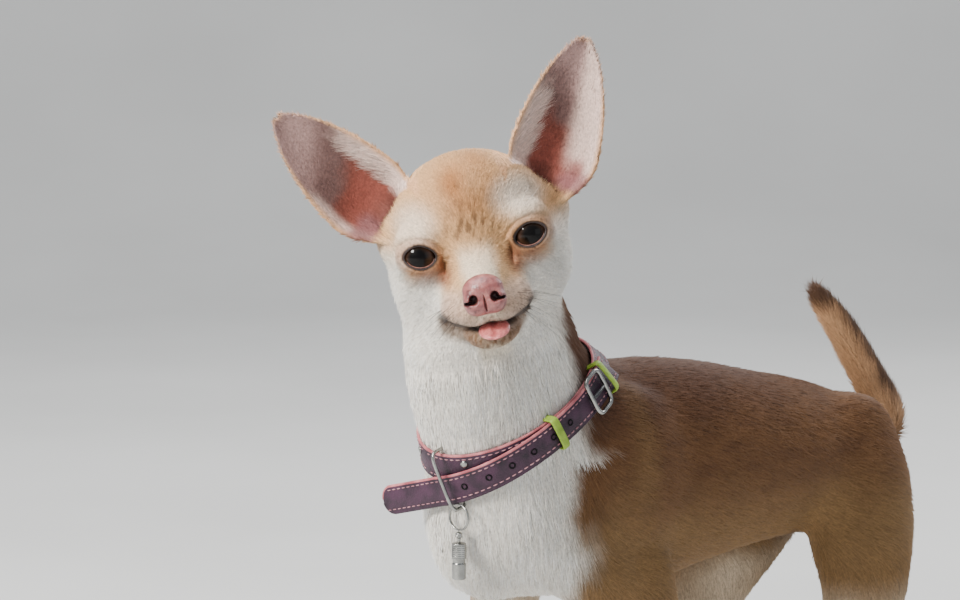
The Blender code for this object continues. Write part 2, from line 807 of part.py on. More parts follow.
def band(name, frame, width, lift, closed, finish):
    """A flat strap along a path, lifted off it; an open strap gets flat ends."""
    centre, outward, across = frame[:3]
    count = len(centre)
    corners = []
    for i in range(count):
        for side, height in ((-0.5, 0.0), (0.5, 0.0), (0.5, 1.0), (-0.5, 1.0)):
            away = lift[i] + height * STRAP_THICK
            corners.append(centre[i] + side * width[i] * across[i] + away * outward[i])
    faces = []
    for i in range(count if closed else count - 1):
        after = (i + 1) % count
        for j in range(4):
            k = (j + 1) % 4
            faces.append((4 * i + j, 4 * i + k, 4 * after + k, 4 * after + j))
    if not closed:
        faces.append((0, 1, 2, 3))
        faces.append(tuple(range(4 * count - 1, 4 * count - 5, -1)))
    return make_object(name, corners, faces, finish)


def inner_strap(finish):
    """The loop of the collar that lies on the neck."""
    angles = np.linspace(0.0, 2 * math.pi, 48, endpoint=False)
    frame = strap_frame(INNER_PLANE, angles)
    count = len(angles)
    return band("collar_strap", frame, np.full(count, STRAP_WIDTH), np.full(count, GAP), True, finish)


def outer_frame():
    """Path of the strap's second layer: back along the neck, then straight off it to the free end."""
    angles = np.linspace(math.radians(142), math.radians(0), 22)
    centre, outward, across, _ = strap_frame(OUTER_PLANE, angles)
    lift = np.full(len(angles), OUTER_LIFT)
    width = np.full(len(angles), STRAP_WIDTH)
    ahead = unit(np.array((-0.0390, -0.0040, -0.0098)))
    facing = unit(np.cross(across[-1], ahead))
    facing *= np.sign(facing @ outward[-1])
    upward = unit(np.cross(facing, ahead))
    upward *= np.sign(upward @ across[-1])
    start = centre[-1] + outward[-1] * OUTER_LIFT
    for share, narrow in FREE_TAPER:
        blend = min(share / 0.3, 1.0)
        centre = np.vstack((centre, start + FREE_LENGTH * share * ahead))
        outward = np.vstack((outward, unit((1 - blend) * outward[21] + blend * facing)))
        across = np.vstack((across, unit((1 - blend) * across[21] + blend * upward)))
        lift = np.append(lift, 0.0)
        width = np.append(width, STRAP_WIDTH * narrow)
    return centre, outward, across, width, lift


def outer_strap(finish):
    """The free end of the collar, from the buckle over the throat to its round tip."""
    centre, outward, across, width, lift = outer_frame()
    return band("collar_free_end", (centre, outward, across), width, lift, False, finish)


def hoop(name, place, tall_way, deep_way, tall, deep, wire, ribbon, finish, sides=5, count=18, bow=0.42):
    """A closed loop, near rectangular or round where bow is 1; ribbon widens its wire along the strap."""
    along_way = np.cross(tall_way, deep_way)
    corners = []
    for angle in np.linspace(0.0, 2 * math.pi, count, endpoint=False):
        wide = abs(math.cos(angle)) ** bow * math.copysign(tall, math.cos(angle))
        thick = abs(math.sin(angle)) ** bow * math.copysign(deep, math.sin(angle))
        out = unit(math.cos(angle) * tall_way / tall**0.1 + math.sin(angle) * deep_way / deep**0.1)
        middle = place + wide * tall_way + thick * deep_way
        for turn in np.linspace(0.0, 2 * math.pi, sides, endpoint=False) + math.pi / sides:
            corners.append(middle + wire * math.cos(turn) * out + ribbon * math.sin(turn) * along_way)
    faces = []
    for i in range(count):
        after = (i + 1) % count
        for j in range(sides):
            k = (j + 1) % sides
            faces.append((sides * i + j, sides * i + k, sides * after + k, sides * after + j))
    return make_object(name, corners, faces, finish)


def turned(name, base, axis, profile, finish, sides=14):
    """A solid turned round an axis from pairs of distance along it and radius."""
    axes = axes_with(axis)
    corners = []
    for along, radius in profile:
        for angle in np.linspace(0.0, 2 * math.pi, sides, endpoint=False):
            ring = math.cos(angle) * axes[0] + math.sin(angle) * axes[1]
            corners.append(np.asarray(base) + along * axes[2] + radius * ring)
    last = len(profile) - 1
    faces = [tuple(range(sides)), tuple(range(last * sides, (last + 1) * sides))]
    for i in range(last):
        for j in range(sides):
            k = (j + 1) % sides
            faces.append((i * sides + j, i * sides + k, (i + 1) * sides + k, (i + 1) * sides + j))
    return make_object(name, corners, faces, finish)


clear_scene()

FAWN = finish_of("fawn_coat", (0.42, 0.27, 0.16), 0.85)
PINK_EAR = finish_of("ear_skin", (0.50, 0.28, 0.24), 0.70)
EYE = finish_of("dark_eye", (0.03, 0.015, 0.01), 0.10)
NOSE = finish_of("pink_nose", (0.45, 0.20, 0.19), 0.45)
TONGUE = finish_of("tongue_flesh", (0.62, 0.22, 0.22), 0.40)

head_item = skin_object(
    "head", head_flesh, (-0.060, -0.165, 0.215), (0.090, -0.015, 0.350), HEAD_STEP, HEAD_TRIANGLES, FAWN
)
torso = skin_object(
    "torso", body_flesh, (-0.060, -0.150, 0.112), (0.065, 0.190, 0.290), BODY_STEP, BODY_TRIANGLES, FAWN
)
for item, edge in ((head_item, GAP / 2 - 0.05), (torso, 0.05 - GAP / 2)):
    cutter = slab("cutter", NECK_TOP[0] + edge * NECK_TOP[1], axes_with(NECK_TOP[1]), (0.3, 0.3, 0.1))
    cut_with(item, cutter)

neck = part_off(torso, "neck", *NECK_FOOT, (0.2, 0.2, 0.2))
tail = part_off(torso, "tail", *TAIL_ROOT, (0.06, 0.2, 0.2))
legs = []
for side, sign in SIDES.items():
    legs.append(leg_object("front_leg_" + side, sign, FRONT_LEG_BOX, FRONT_LEG_TRIANGLES, FAWN))
    legs.append(leg_object("hind_leg_" + side, sign, HIND_LEG_BOX, HIND_LEG_TRIANGLES, FAWN))
    cut_with(torso, room_for_leg(sign, FRONT_LEG_BOX), room_for_leg(sign, HIND_LEG_BOX))

ears = []
for side in SIDES:
    leaf = ear_leaf(side, PINK_EAR)
    cut_with(leaf, grown(head_item, "skull_grown", GAP))
    ears.append(leaf)

eyes = []
for side, sign in SIDES.items():
    centre = from_head((EYE_ACROSS * sign, EYE_BACK, 0.0))
    eyes.append(oval_object("eye_" + side, centre, (EYE_RADIUS,) * 3, HEAD, 16, 10, finish=EYE))
    socket = oval_object("socket", centre, (EYE_RADIUS + GAP,) * 3, HEAD, 16, 10, helper=True)
    cut_with(head_item, socket, eye_opening(side))

NOSE_CENTRE = from_head((0.0, 0.0278, -0.0168))
NOSE_RADII = np.array((0.0094, 0.0064, 0.0077))
nose = oval_object("nose", NOSE_CENTRE, NOSE_RADII, HEAD, 20, 12, finish=NOSE)
for sign in SIDES.values():
    nostril = from_head((0.0044 * sign, 0.0340, -0.0180))
    cut_with(nose, oval_object("nostril", nostril, (0.0021, 0.0034, 0.0018), HEAD, 12, 8, helper=True))
cut_with(head_item, oval_object("nose_seat", NOSE_CENTRE, NOSE_RADII + GAP, HEAD, 20, 12, helper=True))
cut_with(head_item, mouth_line())

TONGUE_CENTRE = from_head((0.0010, 0.0225, -0.0322))
TONGUE_RADII = np.array((0.0071, 0.0078, 0.0023))
droop = math.radians(22)
ahead = math.cos(droop) * HEAD[1] - math.sin(droop) * HEAD[2]
over = math.sin(droop) * HEAD[1] + math.cos(droop) * HEAD[2]
tongue_axes = np.array((HEAD[0], ahead, over))
tongue = oval_object("tongue", TONGUE_CENTRE, TONGUE_RADII, tongue_axes, 16, 8, finish=TONGUE)
pocket = oval_object("pocket", TONGUE_CENTRE, TONGUE_RADII + GAP, tongue_axes, 16, 8, helper=True)
cut_with(head_item, pocket)

LEATHER = finish_of("purple_leather", (0.09, 0.035, 0.08), 0.55)
LIME = finish_of("lime_leather", (0.42, 0.55, 0.10), 0.55)
STEEL = finish_of("bright_steel", (0.62, 0.62, 0.60), 0.28, 1.0)

strap = inner_strap(LEATHER)
free_end = outer_strap(LEATHER)
middle_lift = (GAP + OUTER_LIFT + STRAP_THICK) / 2
stack_depth = (OUTER_LIFT + STRAP_THICK - GAP) / 2 + 2 * GAP

inner_place, inner_out, inner_up, _ = (part[0] for part in strap_frame(INNER_PLANE, [RING_ANGLES[0]]))
outer_place, outer_out, outer_up, _ = (part[0] for part in strap_frame(OUTER_PLANE, [RING_ANGLES[1]]))
ring_top = inner_place + inner_up * STRAP_WIDTH / 2 + inner_out * middle_lift
ring_foot = outer_place - outer_up * STRAP_WIDTH / 2 + outer_out * middle_lift
ring_tall = unit(ring_top - ring_foot)
ring_deep = unit(inner_out - (inner_out @ ring_tall) * ring_tall)
ring_half = np.linalg.norm(ring_top - ring_foot) / 2 + 0.0028
d_ring = hoop(
    "collar_d_ring",
    (ring_top + ring_foot) / 2 + 0.0008 * ring_deep,
    ring_tall,
    ring_deep,
    ring_half,
    stack_depth + 0.0021,
    0.0008,
    0.0008,
    STEEL,
)

keepers = []
for name, angle in (("collar_keeper_front", KEEPER_ANGLE), ("collar_keeper_buckle", BUCKLE_ANGLE + KEEPER_AHEAD)):
    place, out, up, _ = (part[0] for part in strap_frame(OUTER_PLANE, [angle]))
    middle = place + out * middle_lift
    half_tall = STRAP_WIDTH / 2 + 0.0014
    keepers.append(hoop(name, middle, up, out, half_tall, stack_depth + 0.0010, 0.0007, 0.0020, LIME, 4))

place, out, up, along = (part[0] for part in strap_frame(OUTER_PLANE, [BUCKLE_ANGLE]))
top_lift = OUTER_LIFT + STRAP_THICK + GAP + 0.0010
buckle = hoop(
    "collar_buckle", place + out * top_lift, up, along, 0.0082, 0.0068, 0.0010, 0.0010, STEEL
)
pin = turned(
    "collar_buckle_pin",
    place + out * (top_lift + 0.0001) - along * 0.0054,
    along,
    ((0.0, 0.0006), (0.0004, 0.0009), (0.0102, 0.0008), (0.0108, 0.0004)),
    STEEL,
    8,
)

rivets = []
for number, angle in enumerate(RIVET_ANGLES, start=1):
    place, out, up, _ = (part[0] for part in strap_frame(INNER_PLANE, [angle]))
    start = place + out * (GAP + STRAP_THICK + GAP) + up * 0.0022
    rivet = turned(
        "collar_rivet_" + str(number),
        start,
        out,
        ((0.0, 0.0016), (0.0004, 0.0016), (0.0008, 0.0008)),
        STEEL,
        10,
    )
    rivets.append(rivet)

down = np.array((0.0, 0.0, -1.0))
link_radius = 0.0055
ring_low = (ring_top + ring_foot) / 2 - ring_tall * ring_half + 0.0008 * ring_deep
link_centre = ring_low + 0.0010 * ring_deep + down * (link_radius - 0.0019)
facing = unit((ring_deep[0], ring_deep[1], 0.0))
link_across = np.cross(down, facing)
link = hoop(
    "tag_split_ring", link_centre, down, link_across, link_radius, link_radius, 0.0005, 0.0007, STEEL, bow=1.0
)
tag_top = link_centre + down * (link_radius + 0.0005 + GAP)
cap = turned(
    "tag_cap",
    tag_top,
    down,
    ((0.0, 0.0006), (0.0006, 0.0015), (0.0022, 0.0015), (0.0028, 0.0008), (0.0040, 0.0008)),
    STEEL,
)
barrel = turned(
    "tag_barrel",
    tag_top + down * (0.0040 + GAP),
    down,
    (
        (0.0, 0.0022),
        (0.0006, 0.0033),
        (0.0072, 0.0033),
        (0.0076, 0.0028),
        (0.0090, 0.0028),
        (0.0094, 0.0032),
        (0.0158, 0.0032),
        (0.0164, 0.0026),
    ),
    STEEL,
)

metal = [d_ring, buckle, pin, link, cap, barrel] + rivets
leather = [strap, free_end] + keepers
for item in (neck, torso):
    for piece in leather + metal:
        cut_with(item, grown(piece, "clearance", GAP))

for item in [head_item, torso, neck, tail] + legs + ears + eyes + [nose, tongue] + metal + leather:
    settle_corners(item)
    smooth(item)

everything = [item for item in bpy.data.objects if not item.hide_render]
corners = np.array([corner.co for item in everything for corner in item.data.vertices])
middle = (corners.min(axis=0) + corners.max(axis=0)) / 2
shift = Matrix.Translation((-middle[0], -middle[1], -corners[:, 2].min()))
for item in everything:
    item.data.transform(shift)
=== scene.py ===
# %% [markdown]
# # A life-size chihuahua
#
# A still model of a smooth-coated chihuahua that stands with its head turned to the viewer.
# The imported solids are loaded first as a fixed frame. Then one skin is wrapped round the whole
# animal, short hair is laid over it as small solid blades, and the eyes, nose, claws and collar
# are made as pieces of their own.

# %% Load the frame
import math

import bmesh
import bpy
import numpy as np
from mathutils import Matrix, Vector


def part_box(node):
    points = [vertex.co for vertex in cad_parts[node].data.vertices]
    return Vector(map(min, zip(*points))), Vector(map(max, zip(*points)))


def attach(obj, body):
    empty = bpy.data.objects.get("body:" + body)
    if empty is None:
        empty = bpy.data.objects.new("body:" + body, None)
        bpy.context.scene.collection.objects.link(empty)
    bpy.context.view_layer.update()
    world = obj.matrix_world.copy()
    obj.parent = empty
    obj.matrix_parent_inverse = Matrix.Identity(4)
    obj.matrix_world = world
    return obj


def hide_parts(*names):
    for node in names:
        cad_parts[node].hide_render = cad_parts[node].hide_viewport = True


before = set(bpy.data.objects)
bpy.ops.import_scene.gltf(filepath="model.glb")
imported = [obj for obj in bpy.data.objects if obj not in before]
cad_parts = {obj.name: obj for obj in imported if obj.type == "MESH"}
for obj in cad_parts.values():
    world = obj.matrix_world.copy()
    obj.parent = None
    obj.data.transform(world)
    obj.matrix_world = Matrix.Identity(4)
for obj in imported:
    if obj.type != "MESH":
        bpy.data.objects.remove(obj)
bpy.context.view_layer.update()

# %% [markdown]
# Directions first. The head is turned and leans a little, so everything on it is measured in
# three ways of its own: across to the dog's left, forward along the muzzle, and up. The packed
# solids were moved so that they stand centred on the floor, and the middle of one eye tells by
# how much, so every new piece is moved the same way.

# %% Head frame and placing
BROW = np.array((0.032, -0.110, 0.294))
HEAD_TURN = math.radians(50)
HEAD_LEAN = math.radians(12)
SIDES = {"left": 1.0, "right": -1.0}
EYE_RADIUS = 0.0093
EYE_ACROSS = 0.0235
EYE_BACK = -0.0088


def unit(vector):
    """The same way with length one, for one vector or for rows of them."""
    vector = np.asarray(vector, dtype=float)
    return vector / np.linalg.norm(vector, axis=-1, keepdims=True)


def smoothstep(low, high, value):
    """Nought below low, one above high, an S curve 3t*t - 2t*t*t between."""
    share = np.clip((value - low) / (high - low), 0.0, 1.0)
    return share * share * (3.0 - 2.0 * share)


def head_axes():
    """Rows: across to the dog's left, forward out of the face, and up through the crown."""
    flat = np.array((math.cos(HEAD_TURN), math.sin(HEAD_TURN), 0.0))
    rise = np.array((0.0, 0.0, 1.0))
    across = math.cos(HEAD_LEAN) * flat + math.sin(HEAD_LEAN) * rise
    up = math.cos(HEAD_LEAN) * rise - math.sin(HEAD_LEAN) * flat
    return np.array((across, np.cross(across, up), up))


HEAD = head_axes()


def from_head(point):
    """World place, before the shift, of a point given as across, forward and up from the brow."""
    return BROW + np.asarray(point, dtype=float) @ HEAD


EYE_MIDDLES = [np.mean(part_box("eye_" + side), axis=0) for side in SIDES]
SHIFT = EYE_MIDDLES[0] - from_head((EYE_ACROSS, EYE_BACK, 0.0))

print("moved by", SHIFT.round(5))

# %% [markdown]
# A living shape is mostly rounded masses that run into one another. Each mass here is a formula
# that tells how far a point lies outside it: an egg, or a tube of oval section. Two masses are
# joined with a soft minimum, which leaves a fillet between them, as flesh does over bone. The
# same formulas, coarser, shaped the solids, so skin and solids agree from every side.

# %% Masses
LEG_ACROSS = 0.032
PAW_WALL = 0.0018
FORE_LEFT = -0.018
FORE_RIGHT = -0.046
HIND_LEFT = 0.0
HIND_RIGHT = -0.045
EYE_OPEN = (0.0066, 0.0050)
EAR_LENGTH = 0.064
EAR_BURIED = 0.012
EAR_HALF_WIDTH = 0.0198
EAR_SPLAY = {"left": math.radians(27.0), "right": math.radians(36.0)}
EAR_OUT = 0.0020
EAR_ROOT = (0.0330, -0.0290, 0.0190)
EAR_CUP = 0.80
EAR_SHEET = 0.0026


def oval(points, centre, radii):
    """An ellipsoid: the distance along the ray from its centre."""
    reach = points - np.asarray(centre)
    length = np.sqrt((reach**2).sum(axis=1)) + 1e-9
    scaled = np.sqrt(((reach / np.asarray(radii)) ** 2).sum(axis=1)) + 1e-9
    return length - length / scaled


def rounded(stations, steps=4):
    """Extra stations on a smooth curve through the given ones."""
    given = np.asarray(stations, dtype=float)
    padded = np.vstack((2 * given[0] - given[1], given, 2 * given[-1] - given[-2]))
    out = []
    for before, start, end, after in zip(padded[:-3], padded[1:-2], padded[2:-1], padded[3:]):
        for t in np.arange(steps) / steps:
            bend = 2 * start + (end - before) * t
            bend = bend + (2 * before - 5 * start + 4 * end - after) * t**2
            bend = bend + (3 * start - before - 3 * end + after) * t**3
            out.append(bend / 2)
    out.append(given[-1])
    return np.array(out)


def tube(points, stations, side=(1.0, 0.0, 0.0)):
    """A tapered tube of oval section through stations of x, y, z, half width and half depth."""
    side = unit(side)
    nearest = np.full(len(points), 1.0)
    fine = rounded(stations)
    for start, end in zip(fine[:-1], fine[1:]):
        axis = end[:3] - start[:3]
        along = np.clip((points - start[:3]) @ axis / (axis @ axis), 0.0, 1.0)
        away = points - start[:3] - along[:, None] * axis
        across = away @ side
        total = (away**2).sum(axis=1)
        half_wide = start[3] + along * (end[3] - start[3])
        half_deep = start[4] + along * (end[4] - start[4])
        scaled = np.sqrt((across / half_wide) ** 2 + (total - across**2) / half_deep**2) + 1e-9
        length = np.sqrt(total) + 1e-9
        nearest = np.minimum(nearest, length - length / scaled)
    return nearest


def melt(first, second, blend):
    """Both shapes as one, with a fillet about as wide as the blend."""
    share = np.clip(0.5 + 0.5 * (second - first) / blend, 0.0, 1.0)
    return second + (first - second) * share - blend * share * (1.0 - share)


def carve(first, second, blend):
    """The first shape less the second, with a rounded edge."""
    return -melt(-first, second, blend)


TORSO = [
    (0.0, -0.064, 0.172, 0.031, 0.037),
    (0.0, -0.034, 0.181, 0.036, 0.049),
    (0.0, 0.000, 0.1818, 0.0395, 0.0518),
    (0.0, 0.035, 0.1830, 0.0410, 0.0470),
    (0.0, 0.070, 0.1815, 0.0400, 0.0410),
    (0.0, 0.105, 0.1785, 0.0365, 0.0360),
    (0.0, 0.128, 0.1735, 0.0345, 0.0315),
    (0.0, 0.141, 0.1665, 0.0300, 0.0270),
]

NECK = [
    (0.000, -0.047, 0.190, 0.035, 0.045),
    (0.001, -0.059, 0.208, 0.036, 0.048),
    (0.002, -0.070, 0.227, 0.035, 0.0455),
    (0.003, -0.079, 0.250, 0.033, 0.043),
    (0.002, -0.082, 0.276, 0.030, 0.036),
]

TAIL = [
    (0.0, 0.140, 0.176, 0.0120, 0.0120),
    (0.0, 0.158, 0.1765, 0.0105, 0.0105),
    (0.0, 0.1695, 0.1815, 0.0088, 0.0088),
    (0.0, 0.1705, 0.1945, 0.0080, 0.0080),
    (0.0, 0.1590, 0.2120, 0.0074, 0.0074),
    (0.0, 0.1435, 0.2325, 0.0064, 0.0064),
    (0.0, 0.1315, 0.2460, 0.0050, 0.0050),
    (0.0, 0.1260, 0.2515, 0.0032, 0.0032),
]


def shoulder(points, sign, foot):
    """Shoulder blade and upper arm of one side."""
    blade = oval(points, (0.026 * sign, -0.020, 0.186), (0.0155, 0.027, 0.038))
    arm = tube(
        points,
        [
            (0.021 * sign, -0.070, 0.172, 0.015, 0.018),
            (0.027 * sign, -0.045, 0.150, 0.015, 0.018),
            (0.030 * sign, foot + 0.008, 0.128, 0.0125, 0.0145),
        ],
    )
    return melt(blade, arm, 0.012)


def foreleg(points, sign, foot):
    """Forearm, wrist and pastern of one side, down to the paw."""
    x = LEG_ACROSS * sign
    return tube(
        points,
        [
            (x * 0.95, foot + 0.005, 0.140, 0.0115, 0.0160),
            (x * 0.98, foot + 0.003, 0.118, 0.0112, 0.0142),
            (x, foot, 0.080, 0.0088, 0.0102),
            (x, foot - 0.001, 0.048, 0.0074, 0.0080),
            (x, foot - 0.002, 0.036, 0.0080, 0.0086),
            (x, foot - 0.007, 0.016, 0.0080, 0.0080),
        ],
    )


def thigh(points, sign, shift):
    """Thigh and knee of one side."""
    return tube(
        points,
        [
            (0.0190 * sign, 0.130, 0.182, 0.0150, 0.0250),
            (0.0260 * sign, 0.1285 + 0.4 * shift, 0.155, 0.0165, 0.0310),
            (0.0305 * sign, 0.1280 + 0.8 * shift, 0.128, 0.0155, 0.0265),
            (0.0330 * sign, 0.1255 + shift, 0.106, 0.0130, 0.0205),
        ],
    )


def hind_shank(points, sign, shift):
    """Lower leg, hock and instep of one side."""
    x = LEG_ACROSS * sign
    shank = tube(
        points,
        [
            (x, 0.1240 + shift, 0.108, 0.0125, 0.0190),
            (x, 0.1410 + shift, 0.086, 0.0100, 0.0140),
            (x * 0.96, 0.160 + shift, 0.067, 0.0072, 0.0088),
            (x * 0.95, 0.170 + shift, 0.056, 0.0066, 0.0078),
            (x * 0.95, 0.168 + shift, 0.036, 0.0064, 0.0068),
            (x * 0.96, 0.160 + shift, 0.015, 0.0076, 0.0078),
        ],
    )
    heel = tube(
        points,
        [
            (x * 0.97, 0.143 + shift, 0.100, 0.0045, 0.0060),
            (x * 0.96, 0.162 + shift, 0.078, 0.0038, 0.0042),
            (x * 0.95, 0.1755 + shift, 0.061, 0.0042, 0.0045),
        ],
    )
    return melt(shank, heel, 0.006)


TOES = ((-0.0084, -0.0080), (-0.0029, -0.0115), (0.0029, -0.0115), (0.0084, -0.0080))


def paw(points, x, y):
    """One paw: the pad's mass and four toes, with upright sides close to the floor."""
    points = np.concatenate((points[..., :2], np.maximum(points[..., 2:], PAW_WALL)), axis=-1)
    shape = oval(points, (x, y, 0.0085), (0.0098, 0.0125, 0.0090))
    for place, reach in TOES:
        toe = oval(points, (x + place, y + reach, 0.0052), (0.0037, 0.0078, 0.0056))
        shape = melt(shape, toe, 0.0022)
    return shape


FEET = {
    "front_leg_left": (LEG_ACROSS, FORE_LEFT - 0.013),
    "front_leg_right": (-LEG_ACROSS, FORE_RIGHT - 0.013),
    "hind_leg_left": (LEG_ACROSS * 0.96, 0.154 + HIND_LEFT),
    "hind_leg_right": (-LEG_ACROSS * 0.96, 0.154 + HIND_RIGHT),
}


def head(local):
    """Skull, brow, cheeks, muzzle, lips and jaw, in head axes."""
    shape = oval(local, (0.0, -0.041, 0.0020), (0.0370, 0.0395, 0.0350))
    shape = melt(shape, oval(local, (0.0, -0.026, 0.0115), (0.0295, 0.0255, 0.0255)), 0.010)
    for sign in SIDES.values():
        cheek = oval(local, (0.0215 * sign, -0.031, -0.012), (0.0170, 0.026, 0.022))
        shape = melt(shape, cheek, 0.010)
        brow = oval(local, (0.0200 * sign, -0.010, 0.0085), (0.0110, 0.0095, 0.0060))
        shape = melt(shape, brow, 0.006)
        ear_base = oval(local, (0.0330 * sign, -0.040, 0.0090), (0.0090, 0.012, 0.013))
        shape = melt(shape, ear_base, 0.008)
    bridge = [
        (0.0, -0.016, -0.0150, 0.0165, 0.0130),
        (0.0, 0.002, -0.0165, 0.0128, 0.0125),
        (0.0, 0.015, -0.0175, 0.0104, 0.0112),
        (0.0, 0.0225, -0.0182, 0.0092, 0.0098),
    ]
    shape = melt(shape, tube(local, bridge), 0.010)
    for sign in SIDES.values():
        flew = oval(local, (0.0060 * sign, 0.0165, -0.0238), (0.0082, 0.0125, 0.0072))
        shape = melt(shape, flew, 0.004)
        corner = oval(local, (0.0120 * sign, 0.0020, -0.0235), (0.0078, 0.0140, 0.0082))
        shape = melt(shape, corner, 0.007)
        lid = oval(local, (EYE_ACROSS * sign, EYE_BACK, 0.0), (EYE_RADIUS + 0.0013,) * 3)
        shape = melt(shape, lid, 0.006)
    jaw = [
        (0.0, -0.024, -0.0285, 0.0180, 0.0120),
        (0.0, -0.004, -0.0325, 0.0140, 0.0080),
        (0.0, 0.011, -0.0358, 0.0112, 0.0058),
        (0.0, 0.0192, -0.0362, 0.0086, 0.0052),
    ]
    shape = melt(shape, tube(local, jaw), 0.0016)
    for sign in SIDES.values():
        conch = oval(local, (0.0345 * sign, -0.0375, 0.0175), (0.0076, 0.0060, 0.0115))
        shape = carve(shape, conch, 0.003)
    return shape

# %% [markdown]
# The flesh is the whole animal as one formula. Legs, tail and head are only worked out where a
# point is near them, since the sum is taken at a few million points.

# %% Whole animal
FAR = 0.05
NOSE_PLACE = np.array((0.0, 0.0284, -0.0172))
COAT_DEPTH = 0.0008
FACE_COAT = 0.0003


def where_near(points, near, shape):
    """The shape's distance at the points that are near it, and a large distance elsewhere."""
    out = np.full(len(points), FAR)
    if near.any():
        out[near] = shape(points[near])
    return out


def body(points):
    """Torso, neck, tail and legs melted together."""
    y, z = points[:, 1], points[:, 2]
    shape = where_near(points, (z > 0.09) & (z < 0.27), lambda p: tube(p, TORSO))
    for side, sign in SIDES.items():
        foot = FORE_LEFT if side == "left" else FORE_RIGHT
        shift = HIND_LEFT if side == "left" else HIND_RIGHT
        front = (y < 0.06) & (z > 0.08) & (z < 0.26)
        shape = melt(shape, where_near(points, front, lambda p: shoulder(p, sign, foot)), 0.010)
        rear = (y > 0.02) & (z > 0.06) & (z < 0.24)
        shape = melt(shape, where_near(points, rear, lambda p: thigh(p, sign, shift)), 0.010)
    breast = (y < -0.02) & (z < 0.23)
    keel = where_near(points, breast, lambda p: oval(p, (0.0, -0.078, 0.166), (0.015, 0.021, 0.028)))
    shape = melt(shape, keel, 0.012)
    nape = (y < 0.04) & (z > 0.11)
    shape = melt(shape, where_near(points, nape, lambda p: tube(p, NECK, (0.93, 0.36, 0.0))), 0.018)
    rump = (y > 0.09) & (z > 0.13)
    shape = melt(shape, where_near(points, rump, lambda p: tube(p, TAIL)), 0.007)
    for side, sign in SIDES.items():
        foot = FORE_LEFT if side == "left" else FORE_RIGHT
        shift = HIND_LEFT if side == "left" else HIND_RIGHT
        front = (y < 0.05) & (z < 0.175)
        shape = melt(shape, where_near(points, front, lambda p: foreleg(p, sign, foot)), 0.006)
        rear = (y > 0.03) & (z < 0.15)
        shape = melt(shape, where_near(points, rear, lambda p: hind_shank(p, sign, shift)), 0.006)
    for x, y in FEET.values():
        shape = melt(shape, where_near(points, points[:, 2] < 0.04, lambda p: paw(p, x, y)), 0.004)
    return shape


def to_head(points):
    """Across, forward and up from the brow."""
    return (points - BROW) @ HEAD.T


def eye_hole(local, sign):
    """Distance to the almond between the lids: |x/a| to the 1.7 plus |z/b| to the 1.9, tilted a little."""
    across = local[:, 0] - EYE_ACROSS * sign
    up = local[:, 2] - 0.10 * across * sign
    wide, tall = EYE_OPEN
    reach = (np.abs(across / wide) ** 1.7 + np.abs(up / tall) ** 1.9) ** (1 / 1.8)
    return np.maximum((reach - 1.0) * tall, EYE_BACK + 0.002 - local[:, 1])


def over_lips(local):
    """Height over the lips' line, which rises to the corners with x squared and at a middle notch."""
    notch = 0.0015 * np.exp(-((local[:, 0] / 0.0026) ** 2))
    return local[:, 2] + 0.0320 - 0.0046 * (local[:, 0] / 0.0180) ** 2 - notch


def mouth_slit(local):
    """Distance to a thin crescent between the lips, from corner to corner."""
    ring = np.hypot(local[:, 0] / 0.0192, (local[:, 1] - 0.001) / 0.0245)
    open_wide = 0.0005 + 0.0005 * np.exp(-((local[:, 0] / 0.0080) ** 2))
    return np.maximum(np.abs(over_lips(local)) - open_wide, (0.86 - ring) * 0.018)


def face(local):
    """The head with its eye holes, nose seat and mouth line taken out."""
    shape = head(local)
    for sign in SIDES.values():
        reach = eye_hole(local, sign)
        fold = np.exp(-(((reach - 0.0030) / 0.0007) ** 2)) * smoothstep(-0.001, 0.002, local[:, 2])
        bag = np.exp(-(((reach - 0.0042) / 0.0008) ** 2)) * smoothstep(-0.001, -0.003, local[:, 2])
        shape = carve(shape + 0.00055 * fold + 0.00035 * bag, reach, 0.0007)
        groove = oval(local, (0.0142 * sign, 0.0016, -0.0056), (0.0012, 0.0055, 0.0040))
        shape = carve(shape, groove, 0.0026)
    seat = oval(local, NOSE_PLACE + np.array((0.0, 0.0042, 0.0)), (0.0086, 0.0078, 0.0074))
    shape = carve(shape, seat, 0.0012)
    shape = carve(shape, where_near(local, local[:, 1] > 0.0, mouth_slit), 0.0008)
    return shape

# %% [markdown]
# The ear is a thin leaf. Seen along its length it is cupped to the front, its width grows from
# the root, holds, and runs to a blunt point. The formula takes a point's place along the ear,
# across it and in front of it, and gives the distance to a sheet about two millimetres thick.

# %% Ear leaf
def ear_half_width(along):
    """Half width: (1 - s^2.3)^0.72 of the widest, narrowed below the first 14 millimetres."""
    share = np.clip(along / EAR_LENGTH, 0.0, 1.0)
    waist = 1.0 - 0.22 * np.clip(1.0 - along / 0.014, 0.0, 2.0) ** 2
    return EAR_HALF_WIDTH * (1.0 - share**2.3) ** 0.72 * waist


def ear_ways(side):
    """Root, length way and out way of one ear, in head axes."""
    sign, splay = SIDES[side], EAR_SPLAY[side]
    root = np.asarray(EAR_ROOT) * (sign, 1.0, 1.0)
    length_way = np.array((math.sin(splay) * sign, 0.0, math.cos(splay)))
    out_way = np.array((math.cos(splay) * sign, 0.0, -math.sin(splay)))
    return root, length_way, out_way


